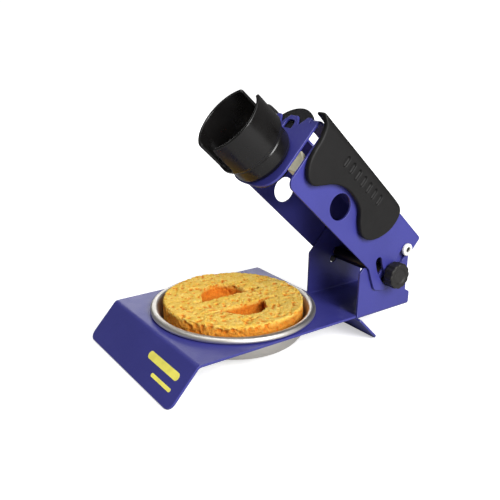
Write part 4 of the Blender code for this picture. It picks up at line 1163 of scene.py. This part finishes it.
for side, tag in SIDES:
    at_pivot = across(*PIVOT_YZ, MID_X, side)
    turned("pivot_bush_%s_turned" % tag, bush_profile, 72, at_pivot, "stand", WHITE_NYLON,
           "pivot_bush_" + tag)
    turned("pivot_screw_%s_turned" % tag, screw_profile, 48, at_pivot, "stand", SCREW_BLACK,
           "pivot_screw_" + tag, ring=False)
    low_x, high_x = sorted((MID_X + side * (wall_in - 0.3), MID_X + side * (wall_in - 2.5)))
    nut = slab([hexagon, circle(PIVOT_YZ, 1.45, 40)], low_x, high_x, 0.22)
    make("pivot_nut_%s_hex" % tag, placed(nut, from_yz), "stand", ZINC, "pivot_nut_" + tag)
    turned("guide_pin_%s_turned" % tag, pin_profile, 56, across(*GUIDE_YZ, MID_X, side),
           "stand", PIN_BLACK, "guide_pin_" + tag, ring=False)


# ---- stage, in metres: pale floor, soft light, camera --------------------------------------
def floor_material():
    """Pale to the camera, mid grey to bounced light, with a glow that grows outwards."""
    mat = Shader("floor_pale")
    grain = mat.noise(size=1.5, rough=0.6)
    seen = mat.add("ShaderNodeLightPath").outputs["Is Camera Ray"]
    paper = mat.mix(mat.ramp(grain, over=(0.3, 0.7), to=(0.0, 0.5)),
                    (0.86, 0.86, 0.86), (0.84, 0.84, 0.845))
    colour = mat.mix(seen, (0.50, 0.50, 0.50), paper)
    away = mat.vector("LENGTH", mat.vector("SUBTRACT", mat.mm, (0.0, 70.0, 0.0)))
    glow = mat.ramp(away, over=(120.0, 700.0), to=(0.50, 1.0))
    return mat.finish(Base_Color=colour, Roughness=0.75, Specular_IOR_Level=0.2,
                      Emission_Color=(1.0, 1.0, 1.0), Emission_Strength=mat.times(seen, glow))


def softbox(name, at, size, power):
    light = bpy.data.lights.new(name, "AREA")
    light.shape = "RECTANGLE"
    light.size, light.size_y = size
    light.energy = power
    obj = add_object(name, light)
    obj.location = at
    aim = Vector((0.01, 0.07, 0.03)) - Vector(at)
    obj.rotation_euler = aim.to_track_quat("-Z", "Y").to_euler()
    obj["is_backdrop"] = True


floor_paint = floor_material()
bm = bmesh.new()
bmesh.ops.create_circle(bm, cap_ends=True, segments=96, radius=3.2)
floor_mesh = bpy.data.meshes.new("floor")
bm.to_mesh(floor_mesh)
bm.free()
floor_mesh.materials.append(floor_paint)
floor = add_object("floor", floor_mesh)
floor.location.z = -0.00005
floor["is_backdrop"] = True

# white world, bright to the camera and dim as a light
world = bpy.data.worlds.new("studio")
scene.world = world
world.use_nodes = True
tree = world.node_tree
background = tree.nodes["Background"]
background.inputs["Color"].default_value = (1.0, 1.0, 1.0, 1.0)
light_path = tree.nodes.new("ShaderNodeLightPath")
strength = tree.nodes.new("ShaderNodeMix")
strength.data_type = "FLOAT"
strength.inputs[2].default_value = 0.13
strength.inputs[3].default_value = 1.05
tree.links.new(light_path.outputs["Is Camera Ray"], strength.inputs[0])
tree.links.new(strength.outputs[0], background.inputs["Strength"])

softbox("key_right", at=(0.85, 0.08, 0.50), size=(0.55, 0.55), power=14.5)
softbox("overhead", at=(-0.02, -0.16, 0.90), size=(0.5, 0.5), power=3.2)
softbox("back_left", at=(-0.85, 0.50, 0.36), size=(0.7, 0.35), power=2.2)

CAMERA_PLACE = Vector((248.0, -104.77, 149.51)) * MM
azimuth, elevation, bank = math.radians(54.66), math.radians(18.61), math.radians(0.68)
lens = bpy.data.cameras.new("camera")
lens.lens = 45.55
lens.sensor_width = 36.0
lens.sensor_fit = "HORIZONTAL"
lens.clip_start, lens.clip_end = 0.01, 20.0
camera = bpy.data.objects.new("camera", lens)
forward = Vector((-math.sin(azimuth) * math.cos(elevation),
                  math.cos(azimuth) * math.cos(elevation), -math.sin(elevation)))
level = Vector((math.cos(azimuth), math.sin(azimuth), 0.0))
upright = level.cross(forward)
right = level * math.cos(bank) + upright * math.sin(bank)
up = -level * math.sin(bank) + upright * math.cos(bank)
rotation = Matrix((right, up, -forward)).transposed().to_4x4()
camera.matrix_world = Matrix.Translation(CAMERA_PLACE) @ rotation
scene.collection.objects.link(camera)
scene.camera = camera
scene.view_settings.view_transform = "Standard"
scene.view_settings.look = "None"
scene.view_settings.exposure = 0.0

low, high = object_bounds()
